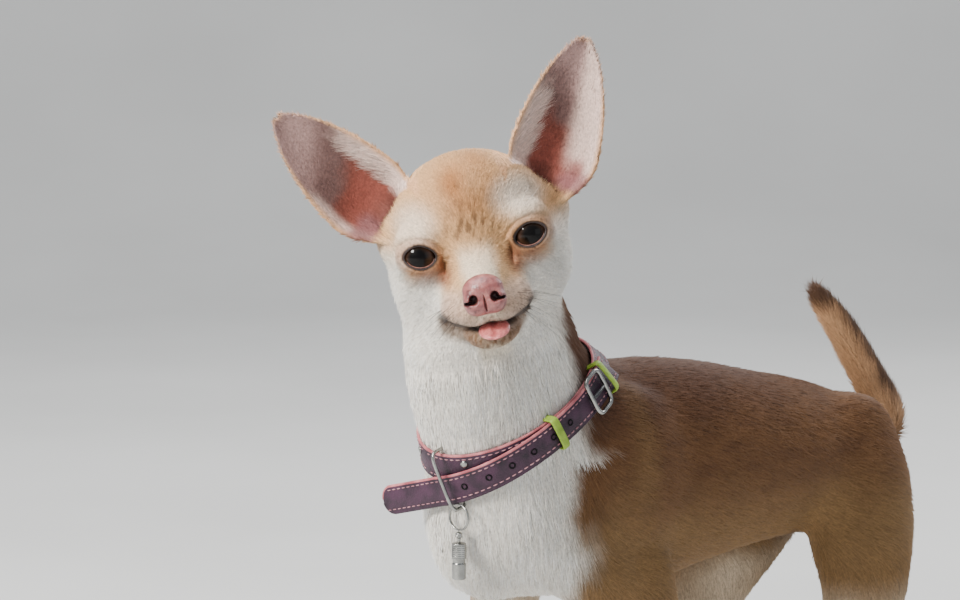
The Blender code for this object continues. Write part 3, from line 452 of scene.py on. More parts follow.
def ear_places(local, side):
    """Along, across from -1 to 1, height before the middle sheet, half width and slope of the leaf."""
    root, length_way, out_way = ear_ways(side)
    reach = local - root
    along = reach @ length_way
    half = np.maximum(ear_half_width(along), 0.0008)
    turn = (reach @ out_way - EAR_OUT) / half
    share = np.clip(along, 0.0, EAR_LENGTH) / EAR_LENGTH
    cup = EAR_CUP * half * (1.0 - 0.45 * share)
    sheet = -cup * (1.0 - np.clip(turn, -1.3, 1.3) ** 2) + 0.004 * share**2
    slope = 2.0 * cup * np.clip(turn, -1.3, 1.3) / half
    front = (reach[:, 1] - sheet) / np.sqrt(1.0 + slope**2)
    return along, turn, front, half, slope


LEAF_NEAR = 0.006
EAR_INNER = 0.012


def on_leaf(local, side, start, edge=1.4):
    """Along, across and in front of an ear, and whether a point is on its leaf past a start."""
    along, turn, front = ear_places(local, side)[:3]
    near = (along > start) & (np.abs(turn) < edge) & (np.abs(front) < LEAF_NEAR)
    return along, turn, front, near & (local[:, 0] * SIDES[side] > EAR_INNER)


def ear_leaf(local, side):
    """Distance to the leaf: a sheet with round edges, from under the skull's skin to the tip."""
    along, turn, front, half, slope = ear_places(local, side)
    share = np.clip(along / EAR_LENGTH, 0.0, 1.0)
    thick = EAR_SHEET * (1.0 - 0.22 * share) * (1.0 - 0.18 * np.clip(turn, -1, 1) ** 2) / 2 + COAT_DEPTH
    edge = (np.abs(turn) - 1.0) * half * np.sqrt(1.0 + slope**2) + thick
    distance = np.sqrt(front**2 + np.maximum(edge, 0.0) ** 2) - thick
    return np.maximum(distance, np.maximum(along - EAR_LENGTH + 0.0012, -EAR_BURIED - along))


def face_with_ears(local):
    """The head, with a leaf grown from each side of the skull."""
    shape = face(local)
    for side, sign in SIDES.items():
        near = (local[:, 0] * sign > 0.010) & (local[:, 2] > 0.0)
        shape = melt(shape, where_near(local, near, lambda p: ear_leaf(p, side)), 0.0040)
    return shape


# %% Whole skin formula
def flesh(points):
    """The whole animal, less eyes, nose and tongue, sunk by the coat's depth."""
    shape = body(points)
    high = points[:, 2] > 0.215
    local = to_head(points[high])
    shape[high] = melt(shape[high], face_with_ears(local), 0.008)
    depth = np.full(len(points), COAT_DEPTH)
    depth[high] += (FACE_COAT - COAT_DEPTH) * smoothstep(-0.030, -0.008, local[:, 1])
    return np.maximum(shape + depth, -points[:, 2])


# %% [markdown]
# To turn the formula into a mesh, a grid is laid over it. Every cell that the surface crosses
# gets one point, and every grid edge that it crosses gets one square. The grid is finer round
# the head, where the eye rests, and coarser along the back. Blocks of cells far from the
# surface are skipped. Afterwards each point slides along the slope until it lies on the surface.

# %% Net
BLOCK = 4
FINE_STEP = 0.00120
WIDE_STEP = 0.00240


def graded(low, high, fine_low, fine_high):
    """Grid places with a fine step between two limits and a wide one outside them."""
    places = [low]
    while places[-1] < high:
        fine = fine_low <= places[-1] < fine_high
        places.append(places[-1] + (FINE_STEP if fine else WIDE_STEP))
    extra = (-len(places)) % BLOCK
    return np.concatenate((places, places[-1] + WIDE_STEP * np.arange(1, extra + 1)))


def net_faces(values, axes):
    """One point in each cell that the skin crosses, and one square for each crossed grid edge."""
    inside = values < 0
    cells = np.array(values.shape) - 1
    total = np.zeros(tuple(cells) + (3,), dtype=np.float32)
    count = np.zeros(tuple(cells), dtype=np.float32)
    crossings = []
    for axis in range(3):
        first = [slice(None)] * 3
        second = [slice(None)] * 3
        first[axis] = slice(0, -1)
        second[axis] = slice(1, None)
        crossed = inside[tuple(first)] != inside[tuple(second)]
        where = np.argwhere(crossed)
        start = values[tuple(first)][crossed]
        end = values[tuple(second)][crossed]
        place = where.astype(float)
        place[:, axis] += start / (start - end)
        others = [i for i in range(3) if i != axis]
        for back in ((0, 0), (1, 0), (1, 1), (0, 1)):
            cell = where.copy()
            cell[:, others[0]] -= back[0]
            cell[:, others[1]] -= back[1]
            keep = ((cell >= 0) & (cell < cells)).all(axis=1)
            index = tuple(cell[keep].T)
            np.add.at(total, index, place[keep])
            np.add.at(count, index, 1.0)
        crossings.append((axis, others, where, inside[tuple(first)][crossed]))
    number = np.full(tuple(cells), -1)
    used = count > 0
    number[used] = np.arange(used.sum())
    place = total[used] / count[used][:, None]
    corners = np.stack([np.interp(place[:, i], np.arange(len(axes[i])), axes[i]) for i in range(3)], axis=1)
    faces = []
    for axis, others, where, outward in crossings:
        ring = []
        for back in ((0, 0), (1, 0), (1, 1), (0, 1)):
            cell = where.copy()
            cell[:, others[0]] -= back[0]
            cell[:, others[1]] -= back[1]
            ring.append(number[tuple(cell.T)])
        square = np.stack(ring, axis=1)
        turned = outward if axis != 1 else ~outward
        square[~turned] = square[~turned][:, ::-1]
        faces.append(square)
    return corners, np.concatenate(faces)


def net_of(shape, axes):
    """Corner points and squares of the shape's surface on a grid of given places along each axis."""
    coarse = [axis.reshape(-1, BLOCK).mean(axis=1) for axis in axes]
    points = np.stack(np.meshgrid(*coarse, indexing="ij"), axis=-1).reshape(-1, 3)
    rough = shape(points).reshape([len(axis) for axis in coarse])
    near = np.abs(rough) < WIDE_STEP * BLOCK * 1.25
    for axis in range(3):
        near = near.repeat(BLOCK, axis=axis)
        rough = rough.repeat(BLOCK, axis=axis)
    places = np.argwhere(near)
    rough[near] = shape(np.stack([axes[i][places[:, i]] for i in range(3)], axis=1))
    return net_faces(rough, axes)


def slope_of(shape, points, reach=0.0002):
    """Gradient of a shape at scattered points."""
    slope = np.empty_like(points)
    for axis in range(3):
        step = np.zeros(3)
        step[axis] = reach
        slope[:, axis] = (shape(points + step) - shape(points - step)) / (2 * reach)
    return slope


def settled(shape, points, rounds=3):
    """The points moved onto the shape's skin."""
    for _ in range(rounds):
        slope = slope_of(shape, points)
        size = np.maximum((slope**2).sum(axis=1), 0.05)
        move = -shape(points)[:, None] * slope / size[:, None]
        points = points + np.clip(move, -0.001, 0.001)
    return points


# %% [markdown]
# Every new piece is put into Blender by the same small helper: points and faces go in, moved
# with the solids, and a closed mesh comes out that rides on the body.

# %% Make a piece
def piece_of(name, points, faces, material, slot, replaces=()):
    """A mesh object from points in metres and faces, riding on the body."""
    mesh = bpy.data.meshes.new(name)
    points = np.asarray(points, dtype=float).reshape(-1, 3) + SHIFT
    faces = faces.tolist() if isinstance(faces, np.ndarray) else [list(face) for face in faces]
    mesh.from_pydata(points.tolist(), [], faces)
    mesh.update()
    mesh.shade_smooth()
    mesh.materials.append(material)
    item = bpy.data.objects.new(name, mesh)
    bpy.context.scene.collection.objects.link(item)
    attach(item, "root")
    if replaces:
        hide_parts(*replaces)
    return item


def grid_faces(rows, columns, around=True, start=0):
    """Squares of a grid of points; around joins the last column to the first."""
    row = np.arange(rows - 1)[:, None]
    column = np.arange(columns if around else columns - 1)[None, :]
    after = (column + 1) % columns
    here, above = row * columns, (row + 1) * columns
    corners = (here + column, here + after, above + after, above + column)
    squares = [np.broadcast_to(corner, (rows - 1, column.shape[1])) for corner in corners]
    return np.stack(squares, axis=-1).reshape(-1, 4) + start


def turned_out(item):
    """Recalculate the normals of a closed piece so that all faces point outwards."""
    work = bmesh.new()
    work.from_mesh(item.data)
    bmesh.ops.recalc_face_normals(work, faces=work.faces)
    work.to_mesh(item.data)
    work.free()
    return item


def solid_piece(name, shape, material, slot, replaces=()):
    """A closed piece from its points and faces, with all its faces outwards."""
    return turned_out(piece_of(name, *shape, material, slot, replaces))


def set_colours(item, name, colours):
    """A colour for each point of the mesh."""
    layer = item.data.color_attributes.new(name, "FLOAT_COLOR", "POINT")
    packed = np.ones((len(colours), 4), dtype=np.float32)
    packed[:, :3] = colours
    layer.data.foreach_set("color", packed.ravel())

# %% [markdown]
# Now the skin itself. The squares of the face and the ears are split in two each way, so that
# lids, lips and the rims of the ears come out crisp. It is one surface with no open edge from
# the nose to the tip of the tail, so no seam shows anywhere.

# %% Build the skin
SKIN_BOX = ((-0.078, 0.096), (-0.172, 0.190), (-0.0036, 0.400))
FINE_BOX = ((-0.078, 0.096), (-0.172, -0.030), (0.216, 0.400))
axes = [graded(*whole, *fine) for whole, fine in zip(SKIN_BOX, FINE_BOX)]
net_points, net_squares = net_of(flesh, axes)
print("net", len(net_points), "points", len(net_squares), "squares")


def refined(points, squares, chosen):
    """The mesh with the chosen squares split in two each way, with clean joins round them."""
    mesh = bpy.data.meshes.new("net")
    mesh.from_pydata(points.tolist(), [], squares.tolist())
    work = bmesh.new()
    work.from_mesh(mesh)
    work.faces.ensure_lookup_table()
    edges = {edge for index in np.flatnonzero(chosen) for edge in work.faces[index].edges}
    bmesh.ops.subdivide_edges(work, edges=list(edges), cuts=1, use_grid_fill=True)
    bmesh.ops.triangulate(work, faces=[f for f in work.faces if len(f.verts) > 4])
    work.to_mesh(mesh)
    work.free()
    places = np.empty(len(mesh.vertices) * 3)
    mesh.vertices.foreach_get("co", places)
    faces = [tuple(polygon.vertices) for polygon in mesh.polygons]
    bpy.data.meshes.remove(mesh)
    return places.reshape(-1, 3), faces


middles = to_head(net_points[net_squares].mean(axis=1))
in_face = (middles[:, 1] > -0.020) & (np.abs(middles[:, 0]) < 0.036) & (np.abs(middles[:, 2] + 0.014) < 0.032)
in_ear = np.zeros(len(middles), dtype=bool)
for side in SIDES:
    along, turn, front = ear_places(middles, side)[:3]
    in_ear |= (along > 0.002) & (np.abs(turn) < 1.25) & (np.abs(front) < LEAF_NEAR) & (middles[:, 2] > 0.01)
skin_points, skin_faces = refined(net_points, net_squares, in_face | in_ear)
skin_points = settled(flesh, skin_points, 2)
print("skin", len(skin_points), "points", len(skin_faces), "faces")

# %% [markdown]
# The flanks, neck and legs lie under hair and are nearly flat between neighbouring points, so
# they need far fewer triangles than the face. Short edges are joined there, flattest places
# first, until the skin has its number of triangles. The face and the toes keep every point.

# %% Thin the skin
SKIN_TRIANGLES = 190000


def thinned(points, faces, kept, triangles):
    """The closed mesh brought down to a number of triangles, with the kept points left alone."""
    mesh = bpy.data.meshes.new("net")
    mesh.from_pydata(points.tolist(), [], faces)
    item = bpy.data.objects.new("net", mesh)
    bpy.context.scene.collection.objects.link(item)
    group = item.vertex_groups.new(name="free")
    group.add(np.flatnonzero(~kept).tolist(), 1.0, "REPLACE")
    thin = item.modifiers.new("thin", "DECIMATE")
    thin.ratio = triangles / sum(len(face) - 2 for face in faces)
    thin.vertex_group = "free"
    result = bpy.data.meshes.new_from_object(item.evaluated_get(bpy.context.evaluated_depsgraph_get()))
    places = np.empty(len(result.vertices) * 3)
    result.vertices.foreach_get("co", places)
    left = [tuple(polygon.vertices) for polygon in result.polygons]
    bpy.data.objects.remove(item)
    for used in (mesh, result):
        bpy.data.meshes.remove(used)
    return places.reshape(-1, 3), left


def face_or_toes(points):
    """True for the points of the face and of the toes."""
    local = to_head(points)
    face = (local[:, 1] > -0.022) & (np.abs(local[:, 0]) < 0.037) & (np.abs(local[:, 2] + 0.014) < 0.033)
    return face | (points[:, 2] < 0.022)


print("face and toe points before", int(face_or_toes(skin_points).sum()))
skin_points, skin_faces = thinned(skin_points, skin_faces, face_or_toes(skin_points), SKIN_TRIANGLES)
print("face and toe points after", int(face_or_toes(skin_points).sum()))
print("thinned skin", sum(len(face) - 2 for face in skin_faces), "triangles")

# %% [markdown]
# The markings are worked out from a point's place on the animal, never from a picture: fawn
# over the back and the top of the skull, cream on the muzzle, throat and chest, a red-brown
# stain under each eye, a dark line down the tail. Skin and hair both ask the same function, so
# they always agree.

# %% Markings
def linear(red, green, blue):
    """A display colour of 0 to 255 as linear light."""
    value = np.array((red, green, blue)) / 255.0
    return np.where(value <= 0.04045, value / 12.92, ((value + 0.055) / 1.055) ** 2.4)


# The body's fawn, deep fawn and sand are darker than the head's gold: partly the coat's own darker hair,
# partly painted shade over the body.
FAWN = linear(116, 80, 50)
FAWN_DEEP = linear(74, 44, 30)
GOLD = linear(226, 180, 130)
TAN = linear(176, 118, 68)
POLL = linear(158, 112, 70)
SABLE = linear(84, 54, 36)
CREAM = linear(243, 224, 198)
WHITE = linear(250, 243, 232)
SAND = linear(138, 106, 68)
STAIN = linear(138, 74, 50)
GREIGE = linear(208, 178, 158)
CHIN = linear(120, 86, 56)
PEACH = linear(226, 176, 132)
TAIL_DARK = linear(66, 44, 34)
EAR_DUSK = linear(118, 90, 86)
EAR_LILAC = linear(186, 152, 146)
EAR_CONCH = linear(152, 84, 72)
EAR_DEEP = linear(108, 60, 50)
EAR_PALE = linear(238, 208, 196)
# Purple-brown painted shade for the lower outer base of the ear's cup.
EAR_BASE_SHADE = linear(150, 98, 98)
EYELINE = linear(34, 22, 20)


def mix(first, second, share):
    """Between two colours, by a share for each point."""
    share = np.clip(np.asarray(share, dtype=float), 0.0, 1.0)[:, None]
    return first * (1.0 - share) + second * share


WAVES = np.random.default_rng(7).normal(size=(3, 9, 4))


def mottle(points, size, kind=0):
    """Soft blotches from -1 to 1: a sum of sines in nine fixed directions."""
    total = np.zeros(len(points))
    for a, b, c, phase in WAVES[kind]:
        total += np.sin((points @ unit((a, b, c))) * (1.6 + 0.9 * abs(phase)) / size + 9.0 * phase)
    return np.clip(total / 4.0, -1.0, 1.0)


def spot(local, centre, radii, soft=0.5):
    """One inside an egg round a place, falling to nought outside it."""
    reach = np.sqrt((((local - np.asarray(centre)) / np.asarray(radii)) ** 2).sum(axis=1))
    return 1.0 - smoothstep(1.0 - soft, 1.0 + soft, reach)


def head_colour(local, points):
    """Pale gold skull with a darker middle, white cheeks, cream bridge, stained inner eyes, and painted shade
    in the furrow between the eyes.
    """
    across, forward, up = local.T
    wide = np.abs(across)
    blotch = mottle(points, 0.006)
    colour = mix(GOLD, POLL, smoothstep(-0.024, -0.056, forward))
    middle = spot(local, (0.0, 0.0, 0.0260), (0.0150, 0.060, 0.0150), 0.75)
    colour = mix(colour, TAN, middle * (0.75 + 0.25 * blotch))
    pale = spot(local, (0.0230, 0.0, 0.0165), (0.0110, 0.030, 0.0090), 0.6)
    pale = np.maximum(pale, 0.8 * spot(local, (-0.0250, 0.0, 0.0120), (0.0100, 0.030, 0.0100), 0.6))
    colour = mix(colour, WHITE, 0.62 * pale)
    streak = mottle(points * (1.0, 1.0, 0.28), 0.0008, 1)
    fleck = smoothstep(-0.1, 0.7, streak) * smoothstep(0.014, 0.003, wide)
    colour = mix(colour, SABLE, 0.34 * fleck * smoothstep(-0.002, 0.008, up) * smoothstep(0.036, 0.022, up))
    # Painted shade: dark streaks in the grooves of the furrow between the eyes.
    furrow_shade = smoothstep(0.2, 0.7, streak) * spot(local, (0.0, 0.0, 0.0060), (0.0120, 0.030, 0.0070), 0.6)
    colour = mix(colour, SABLE, 0.45 * furrow_shade)
    cheek = smoothstep(-0.004, -0.014, up + 0.0015 * blotch) * smoothstep(0.013, 0.021, wide)
    colour = mix(colour, WHITE, cheek)
    colour = mix(colour, WHITE, smoothstep(-0.022, -0.032, up))
    side_white = smoothstep(0.026, 0.034, wide) * smoothstep(0.010, -0.006, up)
    colour = mix(colour, WHITE, 0.9 * side_white)
    behind = smoothstep(-0.036, -0.052, forward + 0.004 * blotch + 0.25 * np.minimum(up + 0.02, 0.0))
    colour = mix(colour, mix(POLL, FAWN, smoothstep(-0.010, -0.034, up)), behind)
    bridge = smoothstep(0.0095, 0.0050, wide + 0.0010 * blotch) * smoothstep(0.004, -0.006, up)
    colour = mix(colour, CREAM, 0.85 * bridge * smoothstep(-0.016, -0.004, forward))
    muzzle = smoothstep(0.000, 0.010, forward) * smoothstep(-0.011, -0.019, up)
    colour = mix(colour, GREIGE, 0.85 * muzzle * smoothstep(0.003, 0.008, wide))
    fine = smoothstep(0.0, 0.7, mottle(points, 0.0009, 2))
    colour = mix(colour, SABLE, 0.32 * fine * muzzle)
    over = over_lips(local)
    chin = smoothstep(0.0000, -0.0012, over) * smoothstep(-0.0125, -0.0070, over - 0.10 * wide)
    chin = chin * smoothstep(-0.012, -0.004, forward) * smoothstep(0.0235, 0.0195, wide)
    colour = mix(colour, CHIN, 0.92 * chin * (0.8 + 0.2 * fine))
    for sign in SIDES.values():
        stain = spot(local, (0.0150 * sign, 0.001, -0.0085), (0.0036, 0.014, 0.0056), 0.7)
        under = spot(local, (0.0205 * sign, 0.0, -0.0090), (0.0080, 0.014, 0.0036), 0.8)
        colour = mix(colour, STAIN, (0.70 + 0.20 * fine) * np.maximum(stain, 0.70 * under))
        reach = eye_hole(local, sign)
        around = smoothstep(0.0048, 0.0010, reach) * (forward > EYE_BACK)
        colour = mix(colour, STAIN, 0.45 * around)
        line = smoothstep(0.0013, 0.0005, reach) * (forward > EYE_BACK)
        colour = mix(colour, EYELINE, 0.85 * line)
    lips = smoothstep(0.0022, 0.0007, np.abs(over))
    ends = sum(
        spot(local, (0.0186 * sign, 0.004, -0.0268), (0.0026, 0.018, 0.0032)) for sign in SIDES.values()
    )
    lips = np.maximum(lips * smoothstep(-0.010, -0.004, forward) * smoothstep(0.022, 0.019, wide), ends)
    return mix(colour, EYELINE, 0.85 * lips)


def ear_colour(local, points, colour):
    """Outside fawn; inside red-brown in the hollow, then dusky, lilac to the tip, pale edges; a painted
    highlight on the outer half of the left ear's cup, painted shade at each cup's outer base.
    """
    for side in SIDES:
        along, turn, front, on_ear = on_leaf(local, side, -0.006, 1.35)
        share = along / EAR_LENGTH + 0.03 * mottle(points, 0.004)
        lean = share + 0.16 * turn
        inside = mix(EAR_DEEP, EAR_CONCH, smoothstep(-0.05, 0.12, share))
        inside = mix(inside, EAR_DEEP, 0.6 * smoothstep(0.20, 0.36, lean))
        inside = mix(inside, EAR_DUSK, smoothstep(0.32, 0.46, lean))
        inside = mix(inside, EAR_LILAC, smoothstep(0.50, 0.78, lean))
        # Painted highlight: on the left ear only, the outer half of the cup is painted pale where light falls
        # into the hollow.
        if side == "left":
            inside = mix(inside, EAR_PALE, 0.9 * smoothstep(0.05, 0.55, turn) * smoothstep(0.06, 0.22, share))
        ragged = turn + 0.08 * mottle(points, 0.002)
        inner_edge = smoothstep(-0.42, -0.62, ragged) * smoothstep(0.72, 0.45, share)
        inside = mix(inside, EAR_PALE, inner_edge)
        outer_edge = smoothstep(0.66, 0.86, turn) * smoothstep(0.55, 0.30, share)
        inside = mix(inside, EAR_PALE, 0.8 * outer_edge)
        rim = np.maximum(smoothstep(0.84, 0.97, np.abs(turn)), smoothstep(0.93, 0.99, along / EAR_LENGTH))
        inside = mix(inside, PEACH, rim)
        outside = mix(PEACH, FAWN, 0.6 * smoothstep(0.2, 0.9, share))
        # Painted shade: the lower outer base of each cup is darkened to a purple-brown.
        inside = mix(inside, EAR_BASE_SHADE, 0.85 * smoothstep(0.16, 0.04, share) * smoothstep(0.15, 0.5, turn))
        before = smoothstep(-0.0004, 0.0006, front)
        leaf = mix(outside, inside, before)
        start = np.where(before > 0.5, smoothstep(-0.006, -0.002, along), smoothstep(0.0, 0.008, along))
        colour = mix(colour, leaf, on_ear * start)
    return colour


def body_colour(points):
    """Brown saddle with a dark reddish topline, sandy lower flank, white throat and chest, cream legs, and a
    painted highlight on the fold behind the left shoulder.
    """
    x, y, z = points.T
    blotch = mottle(points, 0.014)
    top = smoothstep(0.150, 0.190, z + 0.006 * blotch + 0.10 * np.clip(y - 0.02, -0.1, 0.0))
    # Partly painted shade: the body's fawn and sand are set darker than the coat's own colour.
    colour = mix(SAND, FAWN, top)
    colour = mix(colour, FAWN_DEEP, 0.80 * smoothstep(0.196, 0.230, z + 0.004 * blotch))
    middle = smoothstep(0.050, 0.020, np.abs(x) + 0.2 * np.abs(y))
    under = smoothstep(0.140, 0.122, z + 0.004 * blotch) * middle
    colour = mix(colour, CREAM, under)
    streak = smoothstep(0.1, 0.8, mottle(points * (1.0, 0.35, 1.0), 0.0035, 1))
    colour = mix(colour, FAWN_DEEP, 0.25 * streak * top)
    # Painted highlight: a lighter band on the fold of skin behind the left shoulder, where the light catches
    # it.
    fold = spot(points, (0.036, -0.022, 0.190), (0.030, 0.007, 0.036), 0.8)
    colour = mix(colour, SAND, 0.5 * fold)
    ragged = 0.005 * blotch + 0.003 * mottle(points, 0.005, 2)
    beside = 0.40 * np.maximum(np.abs(x) - 0.012, 0.0)
    chest = smoothstep(-0.040, -0.064, y + 0.10 * (z - 0.2) + beside + ragged)
    nape = smoothstep(-0.052, -0.068, y + 0.35 * (z - 0.25) + 0.5 * np.abs(x - 0.03) + ragged)
    colour = mix(colour, WHITE, np.where(z < 0.20, chest, np.maximum(chest * smoothstep(0.27, 0.2, z), nape)))
    leg = smoothstep(0.128, 0.100, z)
    tan = mix(CREAM, SAND, (0.35 + 0.25 * mottle(points, 0.020, 2)) * smoothstep(0.02, 0.11, z))
    colour = mix(colour, tan, leg)
    return tail_colour(points, colour)


TAIL_HEIGHTS = (0.18, 0.1945, 0.212, 0.2325, 0.246, 0.2515)
TAIL_BACKS = (0.170, 0.1705, 0.159, 0.1435, 0.1315, 0.126)


def tail_place(points):
    """How far behind the tail's middle line a place lies, and one on the tail, nought off it."""
    y, z = points[:, 1], points[:, 2]
    middle = np.interp(z, TAIL_HEIGHTS, TAIL_BACKS)
    return y - middle, smoothstep(0.016, 0.010, np.abs(y - middle)) * smoothstep(0.178, 0.190, z)


def tail_colour(points, colour):
    """Peach below and at the root, dark brown along the back edge and at the tip."""
    z = points[:, 2]
    behind, on_tail = tail_place(points)
    upper = smoothstep(-0.003, 0.004, behind + 0.0012 * mottle(points, 0.004))
    dark = np.maximum(upper * smoothstep(0.188, 0.202, z), smoothstep(0.238, 0.247, z))
    tail = mix(mix(PEACH, FAWN, 0.30 * np.ones(len(z))), TAIL_DARK, 0.92 * dark)
    return mix(colour, tail, on_tail)


def coat_colour(points):
    """The marking at any place on the animal."""
    local = to_head(points)
    colour = body_colour(points)
    head_share = smoothstep(-0.052, -0.036, local[:, 2] + 0.25 * local[:, 1] + 0.004)
    head_share = head_share * (points[:, 2] > 0.22) * (points[:, 1] < 0.02)
    colour = mix(colour, head_colour(local, points), head_share)
    colour = ear_colour(local, points, colour)
    return colour * (1.0 + 0.05 * mottle(points, 0.008, 2))[:, None]

# %% [markdown]
# A short coat is seen mostly as a soft sheen with fine streaks along the hair. The skin's
# material takes its colour from the markings, breaks it up with fine noise, and raises a bump of
# short strokes. A small helper makes every node, so each material stays a few lines long.

# %% Material helper
def add_node(tree, kind, place, **settings):
    """A shader node with its plain sockets set by name and its other values as attributes."""
    node = tree.nodes.new(kind)
    node.location = place
    for key, value in settings.items():
        if key in node.inputs:
            node.inputs[key].default_value = value
        else:
            setattr(node, key, value)
    return node


def surface(name, roughness):
    """A material with its Principled node; returns the material, its tree and that node."""
    material = bpy.data.materials.new(name)
    material.use_nodes = True
    tree = material.node_tree
    shader = tree.nodes["Principled BSDF"]
    shader.inputs["Roughness"].default_value = roughness
    return material, tree, shader


def object_noise(tree, scale, detail=3.0, stretch=(1.0, 1.0, 1.0), place=(-900, 0)):
    """Noise on object coordinates, stretched along the axes."""
    where = add_node(tree, "ShaderNodeTexCoord", (place[0] - 400, place[1]))
    squeeze = add_node(tree, "ShaderNodeMapping", (place[0] - 200, place[1]), Scale=stretch)
    noise = add_node(tree, "ShaderNodeTexNoise", place, Scale=scale, Detail=detail)
    tree.links.new(where.outputs["Object"], squeeze.inputs["Vector"])
    tree.links.new(squeeze.outputs["Vector"], noise.inputs["Vector"])
    return noise.outputs["Fac"]


def ramp(tree, source, stops, place=(-600, 0)):
    """A colour ramp with the given places and colours."""
    node = tree.nodes.new("ShaderNodeValToRGB")
    node.location = place
    band = node.color_ramp
    while len(band.elements) < len(stops):
        band.elements.new(0.5)
    for element, (where, colour) in zip(band.elements, stops):
        element.position = where
        element.color = tuple(colour) + (1.0,) if len(colour) == 3 else tuple(colour)
    tree.links.new(source, node.inputs["Fac"])
    return node.outputs["Color"]


def raise_bump(tree, shader, height, strength, distance, place=(-300, -300)):
    """Bump from a height onto the shader."""
    bump = add_node(tree, "ShaderNodeBump", place, Strength=strength, Distance=distance)
    tree.links.new(height, bump.inputs["Height"])
    tree.links.new(bump.outputs["Normal"], shader.inputs["Normal"])


def cell_bump(tree, shader, scale, strength, distance):
    """A pebbled bump of small cells on object coordinates."""
    cells = add_node(tree, "ShaderNodeTexVoronoi", (-900, -300), Scale=scale)
    where = add_node(tree, "ShaderNodeTexCoord", (-1200, -300))
    tree.links.new(where.outputs["Object"], cells.inputs["Vector"])
    raise_bump(tree, shader, cells.outputs["Distance"], strength, distance)


def multiplied(tree, first, second):
    """The product of two colours."""
    blend = add_node(tree, "ShaderNodeMix", (-300, 200), data_type="RGBA", blend_type="MULTIPLY")
    blend.inputs["Factor"].default_value = 1.0
    tree.links.new(first, blend.inputs[6])
    tree.links.new(second, blend.inputs[7])
    return blend.outputs[2]


def hair_surface(name, roughness, bump, dark, bright):
    """Colour from the markings, streaked by fine noise, with a bump of short strokes."""
    material, tree, shader = surface(name, roughness)
    shader.inputs["Sheen Weight"].default_value = 0.05
    shader.inputs["Sheen Roughness"].default_value = 0.50
    shader.inputs["Specular IOR Level"].default_value = 0.20
    marks = add_node(tree, "ShaderNodeAttribute", (-700, 200), attribute_name="markings")
    fine = object_noise(tree, 900.0, 2.0)
    shade = ramp(tree, fine, ((0.30, (dark,) * 3), (0.70, (bright,) * 3)))
    tree.links.new(multiplied(tree, marks.outputs["Color"], shade), shader.inputs["Base Color"])
    strokes = object_noise(tree, 1400.0, 2.0, (1.0, 1.0, 0.35), (-900, -400))
    raise_bump(tree, shader, strokes, bump, 0.0004)
    return material


SKIN = hair_surface("short_undercoat", 0.70, 0.6, 0.62, 0.98)
HAIR = hair_surface("short_hair", 0.58, 0.15, 0.86, 1.10)

# %% [markdown]
# The skin becomes an object here, and gets the markings as a colour for each of its points.

# %% Skin object
FLESH_NODES = ("head", "neck", "torso", "tail", "front_leg_left", "front_leg_right")
FLESH_NODES += ("hind_leg_left", "hind_leg_right", "ear_left", "ear_right")
skin_points[:, 2] = np.maximum(skin_points[:, 2], 0.0)
skin = piece_of("skin", skin_points, skin_faces, SKIN, "fawn_coat", FLESH_NODES)
set_colours(skin, "markings", coat_colour(skin_points) * 0.92)
print("skin triangles", sum(len(p.vertices) - 2 for p in skin.data.polygons))

# %% [markdown]
# Hair lies in a direction that changes over the animal: back from the nose and over the skull,
# down the throat and the legs, back along the flanks, along the ears and the tail. The next
# function gives that way for each root, and another gives how long, wide and dense the hair is
# there. On a smooth coat it is only two millimetres long on the face and six on the back.

# %% Lie and length of the coat
def ear_fringe(along, turn, front):
    """One on the strip inside the ear's inner edge where longer pale hair lies across the hollow."""
    share = along / EAR_LENGTH
    strip = smoothstep(-0.95, -0.80, turn) * smoothstep(-0.38, -0.55, turn) * (front > 0.0)
    return strip * smoothstep(0.06, 0.14, share) * smoothstep(0.62, 0.46, share)


def lie_of_coat(points, normals):
    """The way the hair lies at each place, along the skin."""
    local = to_head(points)
    across, up = local[:, 0], local[:, 2]
    sign = np.sign(across + 1e-9)
    rise = smoothstep(-0.014, 0.008, up)
    spread = smoothstep(0.004, 0.024, np.abs(across))
    ahead = np.stack((sign * (0.15 + 0.65 * spread), -0.75 + 0.0 * up, -0.55 + 1.25 * rise), axis=1)
    on_head = ahead @ HEAD
    x, y, z = points.T
    flank = np.stack((0.10 * np.sign(x), 0.90 + 0.0 * y, -0.42 + 0.0 * z), axis=1)
    throat = np.array((0.0, 0.12, -1.0))
    neck_share = smoothstep(-0.030, -0.060, y)[:, None]
    way = flank * (1.0 - neck_share) + throat * neck_share
    leg_share = smoothstep(0.150, 0.110, z)[:, None]
    way = way * (1.0 - leg_share) + np.array((0.0, 0.10, -1.0)) * leg_share
    paw_share = smoothstep(0.022, 0.012, z)[:, None]
    way = way * (1.0 - paw_share) + np.array((0.0, -0.9, -0.35)) * paw_share
    tail_share = tail_place(points)[1][:, None]
    way = way * (1.0 - tail_share) + np.array((0.0, -0.50, 0.86)) * tail_share
    share = (smoothstep(-0.050, -0.030, up) * (z > 0.22) * (y < 0.01))[:, None]
    way = way * (1.0 - share) + on_head * share
    for side in SIDES:
        along, turn, front, on_ear = on_leaf(local, side, 0.002)
        length_way, out_way = ear_ways(side)[1:]
        fringe = ear_fringe(along, turn, front)[:, None]
        leaf_way = (length_way + (0.35 * np.clip(turn, -1, 1)[:, None] + 1.3 * fringe) * out_way) @ HEAD
        way = np.where(on_ear[:, None], leaf_way, way)
    way = way - (way * normals).sum(axis=1)[:, None] * normals
    return unit(way + 1e-9)


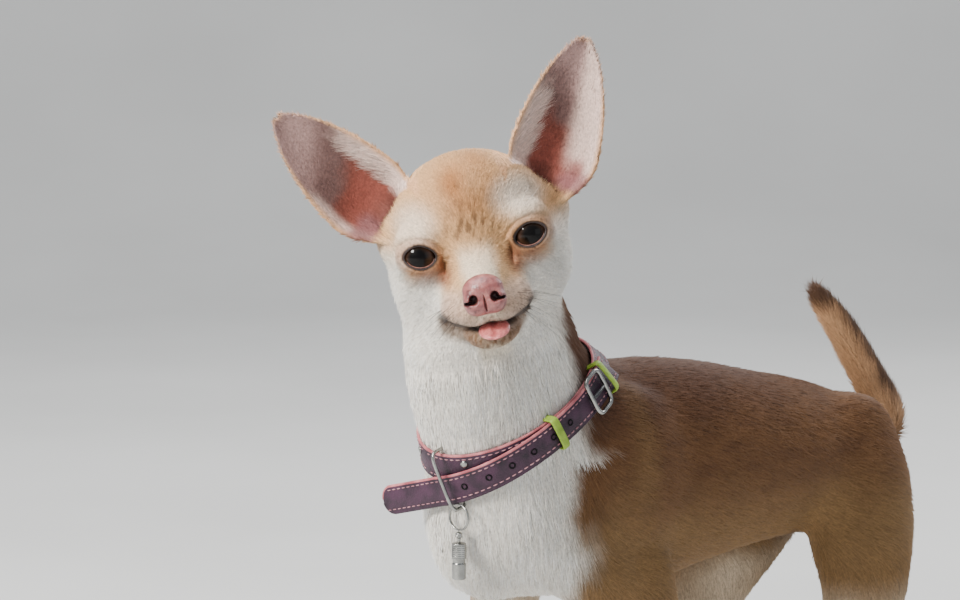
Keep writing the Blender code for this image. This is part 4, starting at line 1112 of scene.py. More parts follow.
def coat_region(points):
    """Number of each place's region, in the order of the names below."""
    local = to_head(points)
    x, y, z = points.T
    region = np.where(x > 0, 4, 5)
    region[(y < -0.045) & (z > 0.145)] = 3
    region[(z < 0.128) & (y < 0.05)] = 6
    region[(z < 0.134) & (y >= 0.05)] = 7
    region[tail_place(points)[1] > 0.35] = 8
    on_head = (local[:, 2] > -0.044 - 0.25 * (local[:, 1] + 0.025)) & (z > 0.22) & (y < 0.02)
    region[on_head & (local[:, 1] > -0.022)] = 0
    region[on_head & (local[:, 1] <= -0.022)] = 1
    for side in SIDES:
        region[on_leaf(local, side, 0.004)[3] & on_head] = 2
    return region


REGION_NAMES = ("face", "crown", "ears", "neck", "flank_left", "flank_right")
REGION_NAMES += ("front_legs", "hind_legs", "tail")
FLOOR_ROOM = 0.0003
HAIR_LENGTH = np.array((0.0023, 0.0034, 0.0026, 0.0078, 0.0058, 0.0058, 0.0042, 0.0042, 0.0085))
HAIR_COUNT = np.array((46000, 44000, 30000, 40000, 42000, 42000, 30000, 34000, 12000))
HAIR_WIDTH = np.array((0.00022, 0.00030, 0.00026, 0.00050, 0.00056, 0.00056, 0.00042, 0.00042, 0.00050))
HAIR_RISE = np.array((0.17, 0.16, 0.15, 0.17, 0.13, 0.13, 0.14, 0.14, 0.22))


def coat_measure(points, region):
    """Length and width of the hair at each root, shorter on muzzle and feet, longer on the throat."""
    local = to_head(points)
    length = HAIR_LENGTH[region].copy()
    width = HAIR_WIDTH[region].copy()
    muzzle = (region == 0) * smoothstep(-0.002, 0.012, local[:, 1])
    length *= 1.0 - 0.35 * muzzle
    outer = (region <= 1) * smoothstep(0.022, 0.036, np.abs(local[:, 0]))
    cheek = outer * smoothstep(0.010, -0.015, local[:, 2])
    length *= 1.0 + 0.9 * cheek
    for side in SIDES:
        length *= 1.0 + 1.6 * (region == 2) * ear_fringe(*ear_places(local, side)[:3])
    feet = (region >= 6) * (region <= 7) * smoothstep(0.035, 0.015, points[:, 2])
    length *= 1.0 - 0.40 * feet
    width *= 1.0 - 0.20 * feet
    return length, width


# %% [markdown]
# Each blade is the smallest closed solid there is: a root triangle sunk in the skin and a tip,
# four faces in all. Roots are scattered evenly over each region's faces by a seeded draw. A
# blade is shaded with the skin's own direction, tilted a little at random, so the coat shines
# softly like hair and not like chips. Its map patch sits at its root's place on an unwrap.

# %% Blades of hair
def mesh_arrays(item):
    """Triangles, points and point normals of a mesh object, with the solids' shift taken off."""
    mesh = item.data
    mesh.calc_loop_triangles()
    triangles = np.empty(len(mesh.loop_triangles) * 3, dtype=np.int32)
    mesh.loop_triangles.foreach_get("vertices", triangles)
    points = np.empty(len(mesh.vertices) * 3)
    mesh.vertices.foreach_get("co", points)
    normals = np.empty(len(mesh.vertices) * 3)
    mesh.vertices.foreach_get("normal", normals)
    return triangles.reshape(-1, 3), points.reshape(-1, 3) - SHIFT, normals.reshape(-1, 3)


def unwrapped(points, region):
    """Each root's place on an unwrap: polar round the skull, and round and along every limb."""
    x, y, z = points.T
    if region <= 1:
        reach = to_head(points) - np.array((0.0, -0.030, -0.005))
        size = np.linalg.norm(reach, axis=1)
        return np.arctan2(reach[:, 0], reach[:, 1]) / (2 * np.pi) + 0.5, np.arccos(reach[:, 2] / size) / np.pi
    if region == 2:
        local = to_head(points)
        side = (local[:, 0] > 0).astype(float)
        first, second = ear_places(local, "left"), ear_places(local, "right")
        along, turn, front = (np.where(side > 0, first[i], second[i]) for i in range(3))
        u = 0.25 * (np.clip(turn, -1.4, 1.4) / 2.8 + 0.5) + 0.25 * (front > 0)
        return 0.5 * side + u, np.clip(along / EAR_LENGTH, 0, 1)
    if region == 3:
        return np.arctan2(x - 0.002, y + 0.070) / (2 * np.pi) + 0.5, (z - 0.13) / 0.17
    if region in (4, 5):
        return np.arctan2(x, z - 0.180) / (2 * np.pi) + 0.5, (y + 0.09) / 0.27
    if region == 8:
        return np.arctan2(x, tail_place(points)[0]) / (2 * np.pi) + 0.5, (z - 0.18) / 0.08
    side = (x > 0).astype(float)
    rear = region == 7
    centre = np.where(side > 0, 0.130 if rear else -0.018, 0.085 if rear else -0.046)
    turn = np.arctan2(np.abs(x) - LEG_ACROSS, y - centre) / (2 * np.pi) + 0.5
    return 0.5 * side + 0.5 * turn, z / 0.14


def blades(name, roots, normals, ways, lengths, widths, rises, seed, map_places):
    """Closed four-faced blades from roots; each is tinted, tilted and turned a little at random."""
    draw = np.random.default_rng(seed)
    count = len(roots)
    side = np.cross(normals, ways)
    turn = draw.normal(0.0, 0.16, count)[:, None]
    ways = unit(ways + turn * side)
    side = np.cross(normals, ways)
    lengths = lengths * draw.uniform(0.65, 1.2, count)
    rise = (rises * draw.uniform(0.3, 1.5, count))[:, None]
    sunk = 0.00015 * normals
    half = (widths / 2)[:, None]
    tip = roots + (ways + rise * normals) * lengths[:, None]
    tip[:, 2] = np.maximum(tip[:, 2], FLOOR_ROOM - SHIFT[2])
    corners = (roots - half * side - sunk, roots + half * side - sunk, roots + normals * half * 1.1, tip)
    points = np.stack(corners, axis=1)
    first = 4 * np.arange(count)[:, None]
    sides = ((0, 2, 1), (0, 1, 3), (1, 2, 3), (2, 0, 3))
    faces = np.concatenate([first + np.array(face) for face in sides], axis=1).reshape(-1, 3)
    mesh = bpy.data.meshes.new(name)
    mesh.vertices.add(4 * count)
    mesh.vertices.foreach_set("co", (points + SHIFT).astype(np.float32).ravel())
    mesh.loops.add(3 * len(faces))
    mesh.loops.foreach_set("vertex_index", faces.ravel().astype(np.int32))
    mesh.polygons.add(len(faces))
    mesh.polygons.foreach_set("loop_start", np.arange(0, 3 * len(faces), 3, dtype=np.int32))
    mesh.update(calc_edges=True)
    mesh.shade_smooth()
    spread = np.array(((-0.0012, 0.0), (0.0012, 0.0), (0.0, 0.0006), (0.0, 0.0024)))
    u, v = (np.clip(place, 0.002, 0.997) for place in map_places)
    places = np.stack((u, v), axis=1)[:, None, :] + spread
    layer = mesh.uv_layers.new(name="OFBake")
    layer.uv.foreach_set("vector", places.reshape(-1, 2)[faces.ravel()].astype(np.float32).ravel())
    shading = unit(normals + 0.30 * draw.normal(size=(count, 1)) * side + 0.12 * ways)
    mesh.normals_split_custom_set_from_vertices(np.repeat(shading, 4, axis=0).astype(np.float32).tolist())
    item = bpy.data.objects.new(name, mesh)
    bpy.context.scene.collection.objects.link(item)
    mesh.materials.append(HAIR)
    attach(item, "root")
    tint = coat_colour(roots) * draw.uniform(0.84, 1.14, count)[:, None]
    along = np.array((0.80, 0.80, 0.90, 1.12))
    set_colours(item, "markings", np.clip(tint[:, None, :] * along[None, :, None], 0, 1).reshape(-1, 3))
    return item


def scatter(seed, keep):
    """Seeded roots spread over the skin by area: their regions, places and normals."""
    draw = np.random.default_rng(seed)
    triangles, points, normals = mesh_arrays(skin)
    corners = points[triangles]
    area = np.linalg.norm(np.cross(corners[:, 1] - corners[:, 0], corners[:, 2] - corners[:, 0]), axis=1) / 2
    region = coat_region(corners.mean(axis=1))
    picks = []
    for number, count in enumerate(HAIR_COUNT):
        weight = np.where(region == number, area, 0.0)
        print(REGION_NAMES[number], "area", round(weight.sum() * 1e6), "mm2")
        picks.append(draw.choice(len(area), int(count * keep), p=weight / weight.sum()))
    pick = np.concatenate(picks)
    first, second = draw.random((2, len(pick)))
    flip = first + second > 1.0
    first, second = np.where(flip, 1 - first, first), np.where(flip, 1 - second, second)
    share = np.stack((1 - first - second, first, second), axis=1)[:, :, None]
    places = (corners[pick] * share).sum(axis=1)
    return region[pick], places, unit((normals[triangles[pick]] * share).sum(axis=1))


def bare(points, region):
    """Places with no hair: lid rims, lips, the nose's seat, the soles and the hollow of the ear."""
    local = to_head(points)
    out = points[:, 2] < 0.0012
    for side, sign in SIDES.items():
        out |= (eye_hole(local, sign) < 0.0012) & (local[:, 1] > EYE_BACK)
        along, turn, front = ear_places(local, side)[:3]
        inner = (region == 2) & (front > 0.0) & (np.abs(turn) < 0.80) & (local[:, 0] * sign > 0)
        inner &= ear_fringe(along, turn, front) < 0.3
        out |= inner & (along < 0.9 * EAR_LENGTH) & (np.random.default_rng(5).random(len(points)) < 0.85)
    out |= np.linalg.norm((local - NOSE_PLACE) / (0.0104, 0.0080, 0.0088), axis=1) < 1.0
    lips = (np.abs(over_lips(local)) < 0.0009) & (local[:, 1] > -0.006)
    return out | (lips & (np.abs(local[:, 0]) < 0.020))


regions, roots, root_normals = scatter(11, 1.0)
kept = ~bare(roots, regions)
regions, roots, root_normals = regions[kept], roots[kept], root_normals[kept]
hair_ways = lie_of_coat(roots, root_normals)
lengths, widths = coat_measure(roots, regions)
for number, name in enumerate(REGION_NAMES):
    here = regions == number
    patch = unwrapped(roots[here], number)
    blades(
        "coat_" + name,
        roots[here],
        root_normals[here],
        hair_ways[here],
        lengths[here],
        widths[here],
        HAIR_RISE[number],
        20 + number,
        patch,
    )
    print("coat", name, int(here.sum()), "blades")

# %% [markdown]
# An eye of this breed is nearly all dark brown iris with a wide pupil, under a clear wet dome.
# The ball is a grid of rings round the line of sight; a low second dome swells it at the front.
# Its own map holds how far each point lies from that line, and the rings of colour follow it.

# %% Eyes
def eye_surface():
    """Rings of colour round the line of sight, under a glossy coat."""
    material, tree, shader = surface("wet_eye", 0.45)
    shader.inputs["Coat Weight"].default_value = 0.45
    shader.inputs["Coat Roughness"].default_value = 0.01
    shader.inputs["Coat IOR"].default_value = 1.38
    shader.inputs["Specular IOR Level"].default_value = 0.04
    where = add_node(tree, "ShaderNodeUVMap", (-1400, 0), uv_map="sight")
    split = add_node(tree, "ShaderNodeSeparateXYZ", (-1200, 0))
    tree.links.new(where.outputs["UV"], split.inputs["Vector"])
    fibres = add_node(tree, "ShaderNodeTexNoise", (-1200, 300), Scale=5.0, Detail=3.0)
    stretch = add_node(tree, "ShaderNodeMapping", (-1300, 300), Scale=(9.0, 0.6, 1.0))
    tree.links.new(where.outputs["UV"], stretch.inputs["Vector"])
    tree.links.new(stretch.outputs["Vector"], fibres.inputs["Vector"])
    push = add_node(tree, "ShaderNodeMath", (-1000, 200), operation="MULTIPLY_ADD")
    push.inputs[1].default_value = 0.05
    tree.links.new(fibres.outputs["Fac"], push.inputs[0])
    tree.links.new(split.outputs["Y"], push.inputs[2])
    stops = (
        (0.17, (0.0015, 0.001, 0.001)),
        (0.21, (0.010, 0.005, 0.003)),
        (0.29, (0.040, 0.018, 0.010)),
        (0.35, (0.010, 0.005, 0.003)),
        (0.39, (0.003, 0.002, 0.002)),
        (0.46, (0.10, 0.07, 0.055)),
    )
    tree.links.new(ramp(tree, push.outputs["Value"], stops), shader.inputs["Base Color"])
    return material


def round_grid(rows, columns):
    """Angles of a ball's grid: from pole to pole, and round it."""
    polar = np.linspace(0.0, math.pi, rows)
    turn = np.linspace(0.0, 2 * math.pi, columns, endpoint=False)
    return np.meshgrid(polar, turn, indexing="ij")


def closed_ball(points, rows, columns):
    """Faces of a grid whose first and last rows are closed by fans at one point each."""
    inner = points[1:-1].reshape(-1, 3)
    poles = np.stack((points[0].mean(axis=0), points[-1].mean(axis=0)))
    body_faces = grid_faces(rows - 2, columns).tolist()
    top, foot = len(inner), len(inner) + 1
    last = (rows - 3) * columns
    for i in range(columns):
        after = (i + 1) % columns
        body_faces.append((after, i, top))
        body_faces.append((last + i, last + after, foot))
    return np.concatenate((inner, poles)), body_faces


EYE = eye_surface()
for side, sign in SIDES.items():
    rows, columns = 48, 64
    polar, turn = round_grid(rows, columns)
    sight = unit(HEAD[1] + 0.10 * sign * HEAD[0])
    across = unit(np.cross(sight, HEAD[2]))
    over = np.cross(across, sight)
    radius = (EYE_RADIUS - 0.0003) + 0.0004 * np.exp(-((polar / 0.55) ** 2))
    ring = np.cos(turn)[..., None] * across + np.sin(turn)[..., None] * over
    ball = radius[..., None] * (np.cos(polar)[..., None] * sight + np.sin(polar)[..., None] * ring)
    shape = closed_ball(ball + from_head((EYE_ACROSS * sign, EYE_BACK, 0.0)), rows, columns)
    eye = solid_piece("eyeball_" + side, shape, EYE, "dark_eye", ("eye_" + side,))
    away = np.concatenate((polar[1:-1].ravel(), (0.0, math.pi))) / math.pi * 1.3
    around = np.concatenate((turn[1:-1].ravel(), (0.0, 0.0))) / (2 * math.pi)
    layer = eye.data.uv_layers.new(name="sight")
    index = np.empty(len(eye.data.loops), dtype=np.int32)
    eye.data.loops.foreach_get("vertex_index", index)
    layer.uv.foreach_set("vector", np.stack((around[index], away[index]), axis=1).astype(np.float32).ravel())
print("eyes", round(EYE_RADIUS * 2000, 1), "mm across")

# %% [markdown]
# The rim of each lid is bare dark skin, thicker above and wet below, where a pale line of tears
# lies against the ball. Both are tubes whose path is the almond of the opening laid on the ball.

# %% Lid rims
def almond(sign, count=96):
    """Points of the almond on the eyeball: across a*cos, up b*sin with pinched corners."""
    turn = np.linspace(0.0, 2 * math.pi, count, endpoint=False)
    wide, tall = EYE_OPEN
    across = wide * np.sign(np.cos(turn)) * np.abs(np.cos(turn)) ** (2 / 1.7)
    up = tall * np.sign(np.sin(turn)) * np.abs(np.sin(turn)) ** (2 / 1.9)
    up = up + 0.10 * across * sign
    ahead = np.sqrt(EYE_RADIUS**2 - across**2 - up**2)
    return turn, np.stack((across + EYE_ACROSS * sign, ahead + EYE_BACK, up), axis=1)


def tube_along(path, radii, sides, closed=False, facing=None):
    """Points and faces of a tube: a circle of each radius carried along a path."""
    path = np.asarray(path, dtype=float)
    ahead = np.gradient(path, axis=0) if not closed else np.roll(path, -1, axis=0) - np.roll(path, 1, axis=0)
    ahead = unit(ahead)
    hint = facing if facing is not None else np.tile((0.31, 0.22, 0.92), (len(path), 1))
    first = unit(hint - (hint * ahead).sum(axis=1)[:, None] * ahead)
    second = np.cross(ahead, first)
    turn = np.linspace(0.0, 2 * math.pi, sides, endpoint=False)
    ring = np.cos(turn)[None, :, None] * first[:, None] + np.sin(turn)[None, :, None] * second[:, None]
    points = path[:, None] + np.asarray(radii, dtype=float)[:, None, None] * ring
    count = len(path)
    if closed:
        faces = grid_faces(count + 1, sides) % (count * sides)
        return points.reshape(-1, 3), faces.tolist()
    faces = grid_faces(count, sides).tolist()
    faces.append(tuple(range(sides - 1, -1, -1)))
    faces.append(tuple(range((count - 1) * sides, count * sides)))
    return points.reshape(-1, 3), faces


def joined(parts):
    """Several sets of points and faces as one."""
    points, faces, start = [], [], 0
    for some_points, some_faces in parts:
        points.append(some_points)
        faces.extend([tuple(np.add(face, start)) for face in some_faces])
        start += len(some_points)
    return np.concatenate(points), faces


def skin_surface(name, dark, bright, roughness, scale=500.0, bump=0.4, coat=0.0):
    """Bare skin: mottled between two colours, with a fine leathery bump."""
    material, tree, shader = surface(name, roughness)
    shader.inputs["Coat Weight"].default_value = coat
    shader.inputs["Coat Roughness"].default_value = 0.12
    noise = object_noise(tree, scale, 4.0)
    tree.links.new(ramp(tree, noise, ((0.35, dark), (0.68, bright))), shader.inputs["Base Color"])
    cell_bump(tree, shader, scale * 3.0, bump, 0.0003)
    return material


LID = skin_surface("lid_skin", linear(26, 17, 15), linear(54, 34, 28), 0.50, coat=0.1)
TEAR = skin_surface("wet_lid", linear(120, 74, 64), linear(168, 118, 104), 0.22, coat=1.0)
for side, sign in SIDES.items():
    turn, path = almond(sign)
    centre = np.array((EYE_ACROSS * sign, EYE_BACK, 0.0))
    away = unit(path - centre)
    upper = smoothstep(-0.2, 0.6, np.sin(turn))
    rim = centre + away * (EYE_RADIUS + 0.00030 + 0.00015 * upper)[:, None]
    shape = tube_along(rim @ HEAD + BROW, 0.00046 + 0.00020 * upper, 12, closed=True, facing=away @ HEAD)
    solid_piece("lid_rim_" + side, shape, LID, "fawn_coat")
    low = np.linspace(math.pi * 1.08, math.pi * 1.92, 48)
    wide, tall = EYE_OPEN[0] * 0.90, EYE_OPEN[1] * 0.86
    across = wide * np.cos(low)
    up = tall * np.sign(np.sin(low)) * np.abs(np.sin(low)) ** 1.05 + 0.10 * across * sign
    ahead = np.sqrt((EYE_RADIUS + 0.0001) ** 2 - across**2 - up**2)
    tear = np.stack((across, ahead, up), axis=1) + centre
    size = 0.00017 * np.sin(np.linspace(0.06, math.pi - 0.06, 48)) ** 0.4
    shape = tube_along(tear @ HEAD + BROW, size, 8, facing=unit(tear - centre) @ HEAD)
    solid_piece("lid_wet_" + side, shape, TEAR, "fawn_coat")

# %% [markdown]
# The nose is bare leather, broad above and narrow at the lip, with two comma-shaped nostrils and
# a groove between them. It is made from eggs melted together, as the flesh is, on its own fine
# net. The tongue's tip is a thin rounded sheet that hangs a little over the lower lip.

# %% Nose and tongue
def nostril(spot_at, sign):
    """Distance to one nostril: a round hole with a short slit that runs out and down from it."""
    hole = oval(spot_at, (0.0045 * sign, 0.0058, -0.0010), (0.0019, 0.0046, 0.0022))
    slit = oval(spot_at, (0.0068 * sign, 0.0040, -0.0022), (0.0022, 0.0036, 0.0007))
    return melt(hole, slit, 0.0010)


def nose_shape(local):
    """The nose's bulb and wings, less the nostrils, their slits and the groove."""
    spot_at = local - NOSE_PLACE
    shape = oval(spot_at, (0.0, -0.0012, 0.0020), (0.0086, 0.0070, 0.0064))
    for sign in SIDES.values():
        wing = oval(spot_at, (0.0044 * sign, 0.0000, -0.0024), (0.0047, 0.0064, 0.0058))
        shape = melt(shape, wing, 0.0012)
    shape = melt(shape, oval(spot_at, (0.0, -0.0008, -0.0040), (0.0046, 0.0062, 0.0042)), 0.0030)
    for sign in SIDES.values():
        shape = carve(shape, nostril(spot_at, sign), 0.0010)
    groove = oval(spot_at, (0.0, 0.0064, -0.0042), (0.00050, 0.0030, 0.0052))
    return carve(shape, groove, 0.0008)


def even_axes(low, high, step):
    """Grid places with one step, in whole blocks."""
    counts = [int(math.ceil((b - a) / step / BLOCK)) * BLOCK for a, b in zip(low, high)]
    return [a + step * np.arange(count) for a, count in zip(low, counts)]


def nose_surface():
    """Pink-mauve leather with darker specks and painted shade in the nostrils, damp, with a pebbled bump."""
    material, tree, shader = surface("nose_leather", 0.36)
    shader.inputs["Coat Weight"].default_value = 0.30
    shader.inputs["Coat Roughness"].default_value = 0.25
    shader.inputs["Subsurface Weight"].default_value = 0.12
    shader.inputs["Subsurface Scale"].default_value = 0.002
    noise = object_noise(tree, 420.0, 4.0)
    stops = ((0.30, linear(92, 50, 52)), (0.46, linear(138, 80, 78)), (0.75, linear(172, 112, 106)))
    # Painted shade: a colour for each point darkens the leather inside the nostrils and along their slits.
    depth = add_node(tree, "ShaderNodeAttribute", (-700, 200), attribute_name="nostril_shade")
    colour = multiplied(tree, ramp(tree, noise, stops), depth.outputs["Color"])
    tree.links.new(colour, shader.inputs["Base Color"])
    cell_bump(tree, shader, 1500.0, 0.6, 0.00025)
    return material


nose_axes = even_axes(NOSE_PLACE - 0.0125, NOSE_PLACE + 0.0125, 0.00038)


def small_net(shape, axes, rounds=2):
    """Points, settled on the surface, and squares of a small shape in head axes."""
    grid = np.stack(np.meshgrid(*axes, indexing="ij"), axis=-1)
    values = shape(grid.reshape(-1, 3)).reshape(grid.shape[:3])
    points, squares = net_faces(values, axes)
    return settled(shape, points, rounds), squares


nose_points, nose_squares = small_net(nose_shape, nose_axes)
nose_mesh = (nose_points @ HEAD + BROW, nose_squares)
nose = solid_piece("nose_leather", nose_mesh, nose_surface(), "pink_nose", ("nose",))
# Painted shade: the leather is darkened most deep inside each nostril, and a little along the slits.
in_hole = np.minimum(nostril(nose_points - NOSE_PLACE, 1.0), nostril(nose_points - NOSE_PLACE, -1.0))
ahead = nose_points[:, 1] - NOSE_PLACE[1]
deep = smoothstep(0.0009, 0.0002, in_hole) * smoothstep(0.0052, 0.0030, ahead)
lines = 0.25 * smoothstep(0.0007, 0.0002, in_hole)
set_colours(nose, "nostril_shade", (1.0 - 0.85 * np.maximum(deep, lines))[:, None] * (1.0, 0.94, 0.94))
print("nose", len(nose_squares), "squares")

TONGUE_PLACE = np.array((0.0012, 0.0222, -0.0330))
TONGUE_DROOP = math.radians(22)
rows, columns = 40, 48
polar, turn = round_grid(rows, columns)
tongue_ahead = math.cos(TONGUE_DROOP) * HEAD[1] - math.sin(TONGUE_DROOP) * HEAD[2]
tongue_over = math.sin(TONGUE_DROOP) * HEAD[1] + math.cos(TONGUE_DROOP) * HEAD[2]
wide = 0.0066 * np.sin(polar) * np.cos(turn)
long = 0.0077 * np.sin(polar) * np.sin(turn)
dip = -0.0008 * np.exp(-((wide / 0.0012) ** 2)) * (np.cos(polar) > 0)
tall = 0.0021 * np.cos(polar) + dip
tongue = wide[..., None] * HEAD[0] + long[..., None] * tongue_ahead + tall[..., None] * tongue_over
tongue_mesh = closed_ball(tongue + from_head(TONGUE_PLACE), rows, columns)
TONGUE = skin_surface("tongue_flesh", linear(190, 92, 92), linear(226, 134, 130), 0.30, 700.0, 0.5, 0.5)
solid_piece("tongue_tip", tongue_mesh, TONGUE, "tongue_flesh", ("tongue",))

# %% [markdown]
# Claws are short curved cones of dark horn, one on each toe. Whiskers are hairs stiff enough to
# show one by one: dark ones in rows on the upper lip, a few pale ones over the eyes.

# %% Claws and whiskers
CLAW = skin_surface("claw_horn", linear(58, 44, 38), linear(120, 98, 84), 0.35, 260.0, 0.2, 0.2)
claw_parts = []
for x, y in FEET.values():
    for place, reach in TOES:
        t = np.linspace(0.0, 1.0, 10)[:, None]
        root = np.array((x + place, y + reach - 0.0050, 0.0070))
        knee = np.array((x + place * 1.08, y + reach - 0.0096, 0.0062))
        tip = np.array((x + place * 1.14, y + reach - 0.0118, 0.0016))
        path = (1 - t) ** 2 * root + 2 * t * (1 - t) * knee + t**2 * tip
        radii = 0.0013 * (1.0 - t[:, 0]) ** 0.6 + 0.00012
        claw_parts.append(tube_along(path, radii, 8))
solid_piece("claws", joined(claw_parts), CLAW, "fawn_coat")

draw = np.random.default_rng(3)
whisker_parts = {"dark": [], "pale": []}
for sign in SIDES.values():
    for row in range(4):
        for column in range(4):
            beside = 0.0098 * sign + 0.0022 * sign * (3 - column) / 3
            height = -0.0200 - 0.0019 * row + 0.0004 * column
            start = np.array((beside, 0.0185 - 0.0038 * column, height))
            way = unit(np.array((sign * (0.75 + 0.1 * column), 0.55 - 0.30 * column, -0.15 - 0.16 * row)))
            way = unit(way + 0.12 * draw.normal(size=3))
            long = (0.013 + 0.004 * column) * draw.uniform(0.75, 1.15)
            t = np.linspace(0.0, 1.0, 9)[:, None]
            bend = np.array((0.0, -0.25, -0.20)) * long
            path = start - 0.0015 * way + way * long * t + bend * t**2
            radii = 0.00013 * (1.0 - 0.85 * t[:, 0])
            whisker_parts["dark"].append(tube_along(path @ HEAD + BROW, radii, 5))
    for number in range(4):
        start = np.array((sign * (0.0150 + 0.0028 * number), -0.0015 - 0.001 * number, 0.0120))
        way = unit(np.array((sign * (0.10 + 0.25 * number), 0.70, 0.75)) + 0.1 * draw.normal(size=3))
        long = 0.014 * draw.uniform(0.8, 1.2)
        t = np.linspace(0.0, 1.0, 9)[:, None]
        path = start - 0.0015 * way + way * long * t + np.array((0.0, -0.3, 0.1)) * long * t**2
        whisker_parts["pale"].append(tube_along(path @ HEAD + BROW, 0.00008 * (1.0 - 0.85 * t[:, 0]), 5))
WHISKER = {
    "dark": skin_surface("dark_whisker", linear(30, 22, 20), linear(60, 46, 40), 0.4),
    "pale": skin_surface("pale_whisker", linear(215, 200, 185), linear(245, 238, 230), 0.4),
}
for tone, parts in whisker_parts.items():
    solid_piece("whiskers_" + tone, joined(parts), WHISKER[tone], "fawn_coat")

# %% [markdown]
# The collar is a strip of purple leather. Its first layer circles the neck; the second slants
# over it from the buckle to a free end that stands off the throat. Each is a rounded profile
# carried along a path on the neck, found by feeling for the neck's surface at each angle.

# %% Collar paths
GAP = 0.0003


def axes_with(normal, hint=(1.0, 0.0, 0.0)):
    """Rows of a right-handed frame whose third row is the normal."""
    third = unit(normal)
    first = unit(np.asarray(hint) - third * (np.asarray(hint) @ third))
    return np.array((first, np.cross(third, first), third))


INNER_PLANE = (np.array((0.0, -0.062, 0.2205)), axes_with((0.057, -0.444, 0.894), (0.0, -1.0, 0.0)))
OUTER_PLANE = (np.array((0.0, -0.062, 0.2096)), axes_with((-0.204, -0.480, 0.853), (0.0, -1.0, 0.0)))
STRAP_WIDTH = 0.0120
STRAP_THICK = 0.0016
OUTER_LIFT = 2 * GAP + STRAP_THICK + 0.0005
FREE_LENGTH = 0.034
BUCKLE_ANGLE = math.radians(114)
KEEPER_ANGLE = math.radians(72)
RING_ANGLES = (math.radians(13), math.radians(9))


def round_neck(plane, angles, level):
    """Places on the skin of the neck at angles round a collar plane, counted from the throat."""
    centre, axes = plane
    angles = np.atleast_1d(np.asarray(angles, dtype=float))
    ways = np.cos(angles)[:, None] * axes[0] + np.sin(angles)[:, None] * axes[1]
    start = centre + level * axes[2]
    low = np.full(angles.shape, 0.010)
    high = np.full(angles.shape, 0.075)
    for _ in range(22):
        middle = (low + high) / 2
        inside = body(start + middle[:, None] * ways) < 0
        low = np.where(inside, middle, low)
        high = np.where(inside, high, middle)
    return start + low[:, None] * ways


def strap_frame(plane, angles):
    """Centre line, outward, across and along ways of a band that lies on the neck."""
    lower = round_neck(plane, angles, -STRAP_WIDTH / 2)
    upper = round_neck(plane, angles, STRAP_WIDTH / 2)
    middle = round_neck(plane, angles, 0.0)
    ahead = round_neck(plane, np.asarray(angles) + 0.02, 0.0) - middle
    across = upper - lower
    across /= np.linalg.norm(across, axis=1)[:, None]
    outward = np.cross(ahead, across)
    outward /= np.linalg.norm(outward, axis=1)[:, None]
    bulge = ((middle - (upper + lower) / 2) * outward).sum(axis=1)
    centre = (upper + lower) / 2 + np.maximum(bulge, 0.0)[:, None] * outward
    return centre, outward, across, np.cross(across, outward)


def outer_frame():
    """Path of the strap's second layer: back along the neck, then straight off it to the free end."""
    angles = np.linspace(math.radians(142), math.radians(0), 90)
    centre, outward, across, _ = strap_frame(OUTER_PLANE, angles)
    lift = np.full(len(angles), OUTER_LIFT)
    width = np.full(len(angles), STRAP_WIDTH)
    ahead = unit(np.array((-0.0390, -0.0040, -0.0098)))
    facing = unit(np.cross(across[-1], ahead))
    facing *= np.sign(facing @ outward[-1])
    upward = unit(np.cross(facing, ahead))
    upward *= np.sign(upward @ across[-1])
    start = centre[-1] + outward[-1] * OUTER_LIFT
    shares = np.concatenate((np.linspace(0.04, 0.84, 21), 0.84 + 0.16 * np.sin(np.linspace(0.1, 1.5, 10))))
    for share in shares:
        narrow = math.sqrt(max(1.0 - (max(share - 0.84, 0.0) / 0.162) ** 2, 0.02))
        blend = min(share / 0.3, 1.0)
        centre = np.vstack((centre, start + FREE_LENGTH * share * ahead))
        outward = np.vstack((outward, unit((1 - blend) * outward[89] + blend * facing)))
        across = np.vstack((across, unit((1 - blend) * across[89] + blend * upward)))
        lift = np.append(lift, 0.0)
        width = np.append(width, STRAP_WIDTH * narrow)
    return centre, outward, across, width, lift

# %% [markdown]
# The strap has raised edges, the upper ones pink and the lower ones purple like the leather, and a row of
# pale stitches near each edge. The leather's colour wanders and is scuffed, and the lime loops and steel are
# made the same careful way.

# %% Leather and metal finishes
def leather(name, dark, bright, roughness=0.5):
    """Grained leather: blotched colour, scuffed high spots, a fine cell bump."""
    material, tree, shader = surface(name, roughness)
    shader.inputs["Specular IOR Level"].default_value = 0.4
    blotch = object_noise(tree, 160.0, 5.0)
    tree.links.new(ramp(tree, blotch, ((0.32, dark), (0.70, bright))), shader.inputs["Base Color"])
    cell_bump(tree, shader, 1300.0, 0.45, 0.0003)
    return material


def metal(name, colour, roughness):
    """Bright plated steel, its roughness clouded by handling."""
    material, tree, shader = surface(name, roughness)
    shader.inputs["Metallic"].default_value = 1.0
    shade = object_noise(tree, 240.0, 4.0)
    low = tuple(0.72 * np.array(colour))
    tree.links.new(ramp(tree, shade, ((0.35, low), (0.62, tuple(colour)))), shader.inputs["Base Color"])
    rough = add_node(tree, "ShaderNodeMapRange", (-500, -200))
    rough.inputs["To Min"].default_value = roughness * 0.7
    rough.inputs["To Max"].default_value = roughness * 1.5
    tree.links.new(shade, rough.inputs["Value"])
    tree.links.new(rough.outputs["Result"], shader.inputs["Roughness"])
    scratches = object_noise(tree, 900.0, 2.0, (1.0, 1.0, 6.0), (-900, -500))
    raise_bump(tree, shader, scratches, 0.12, 0.0002)
    return material


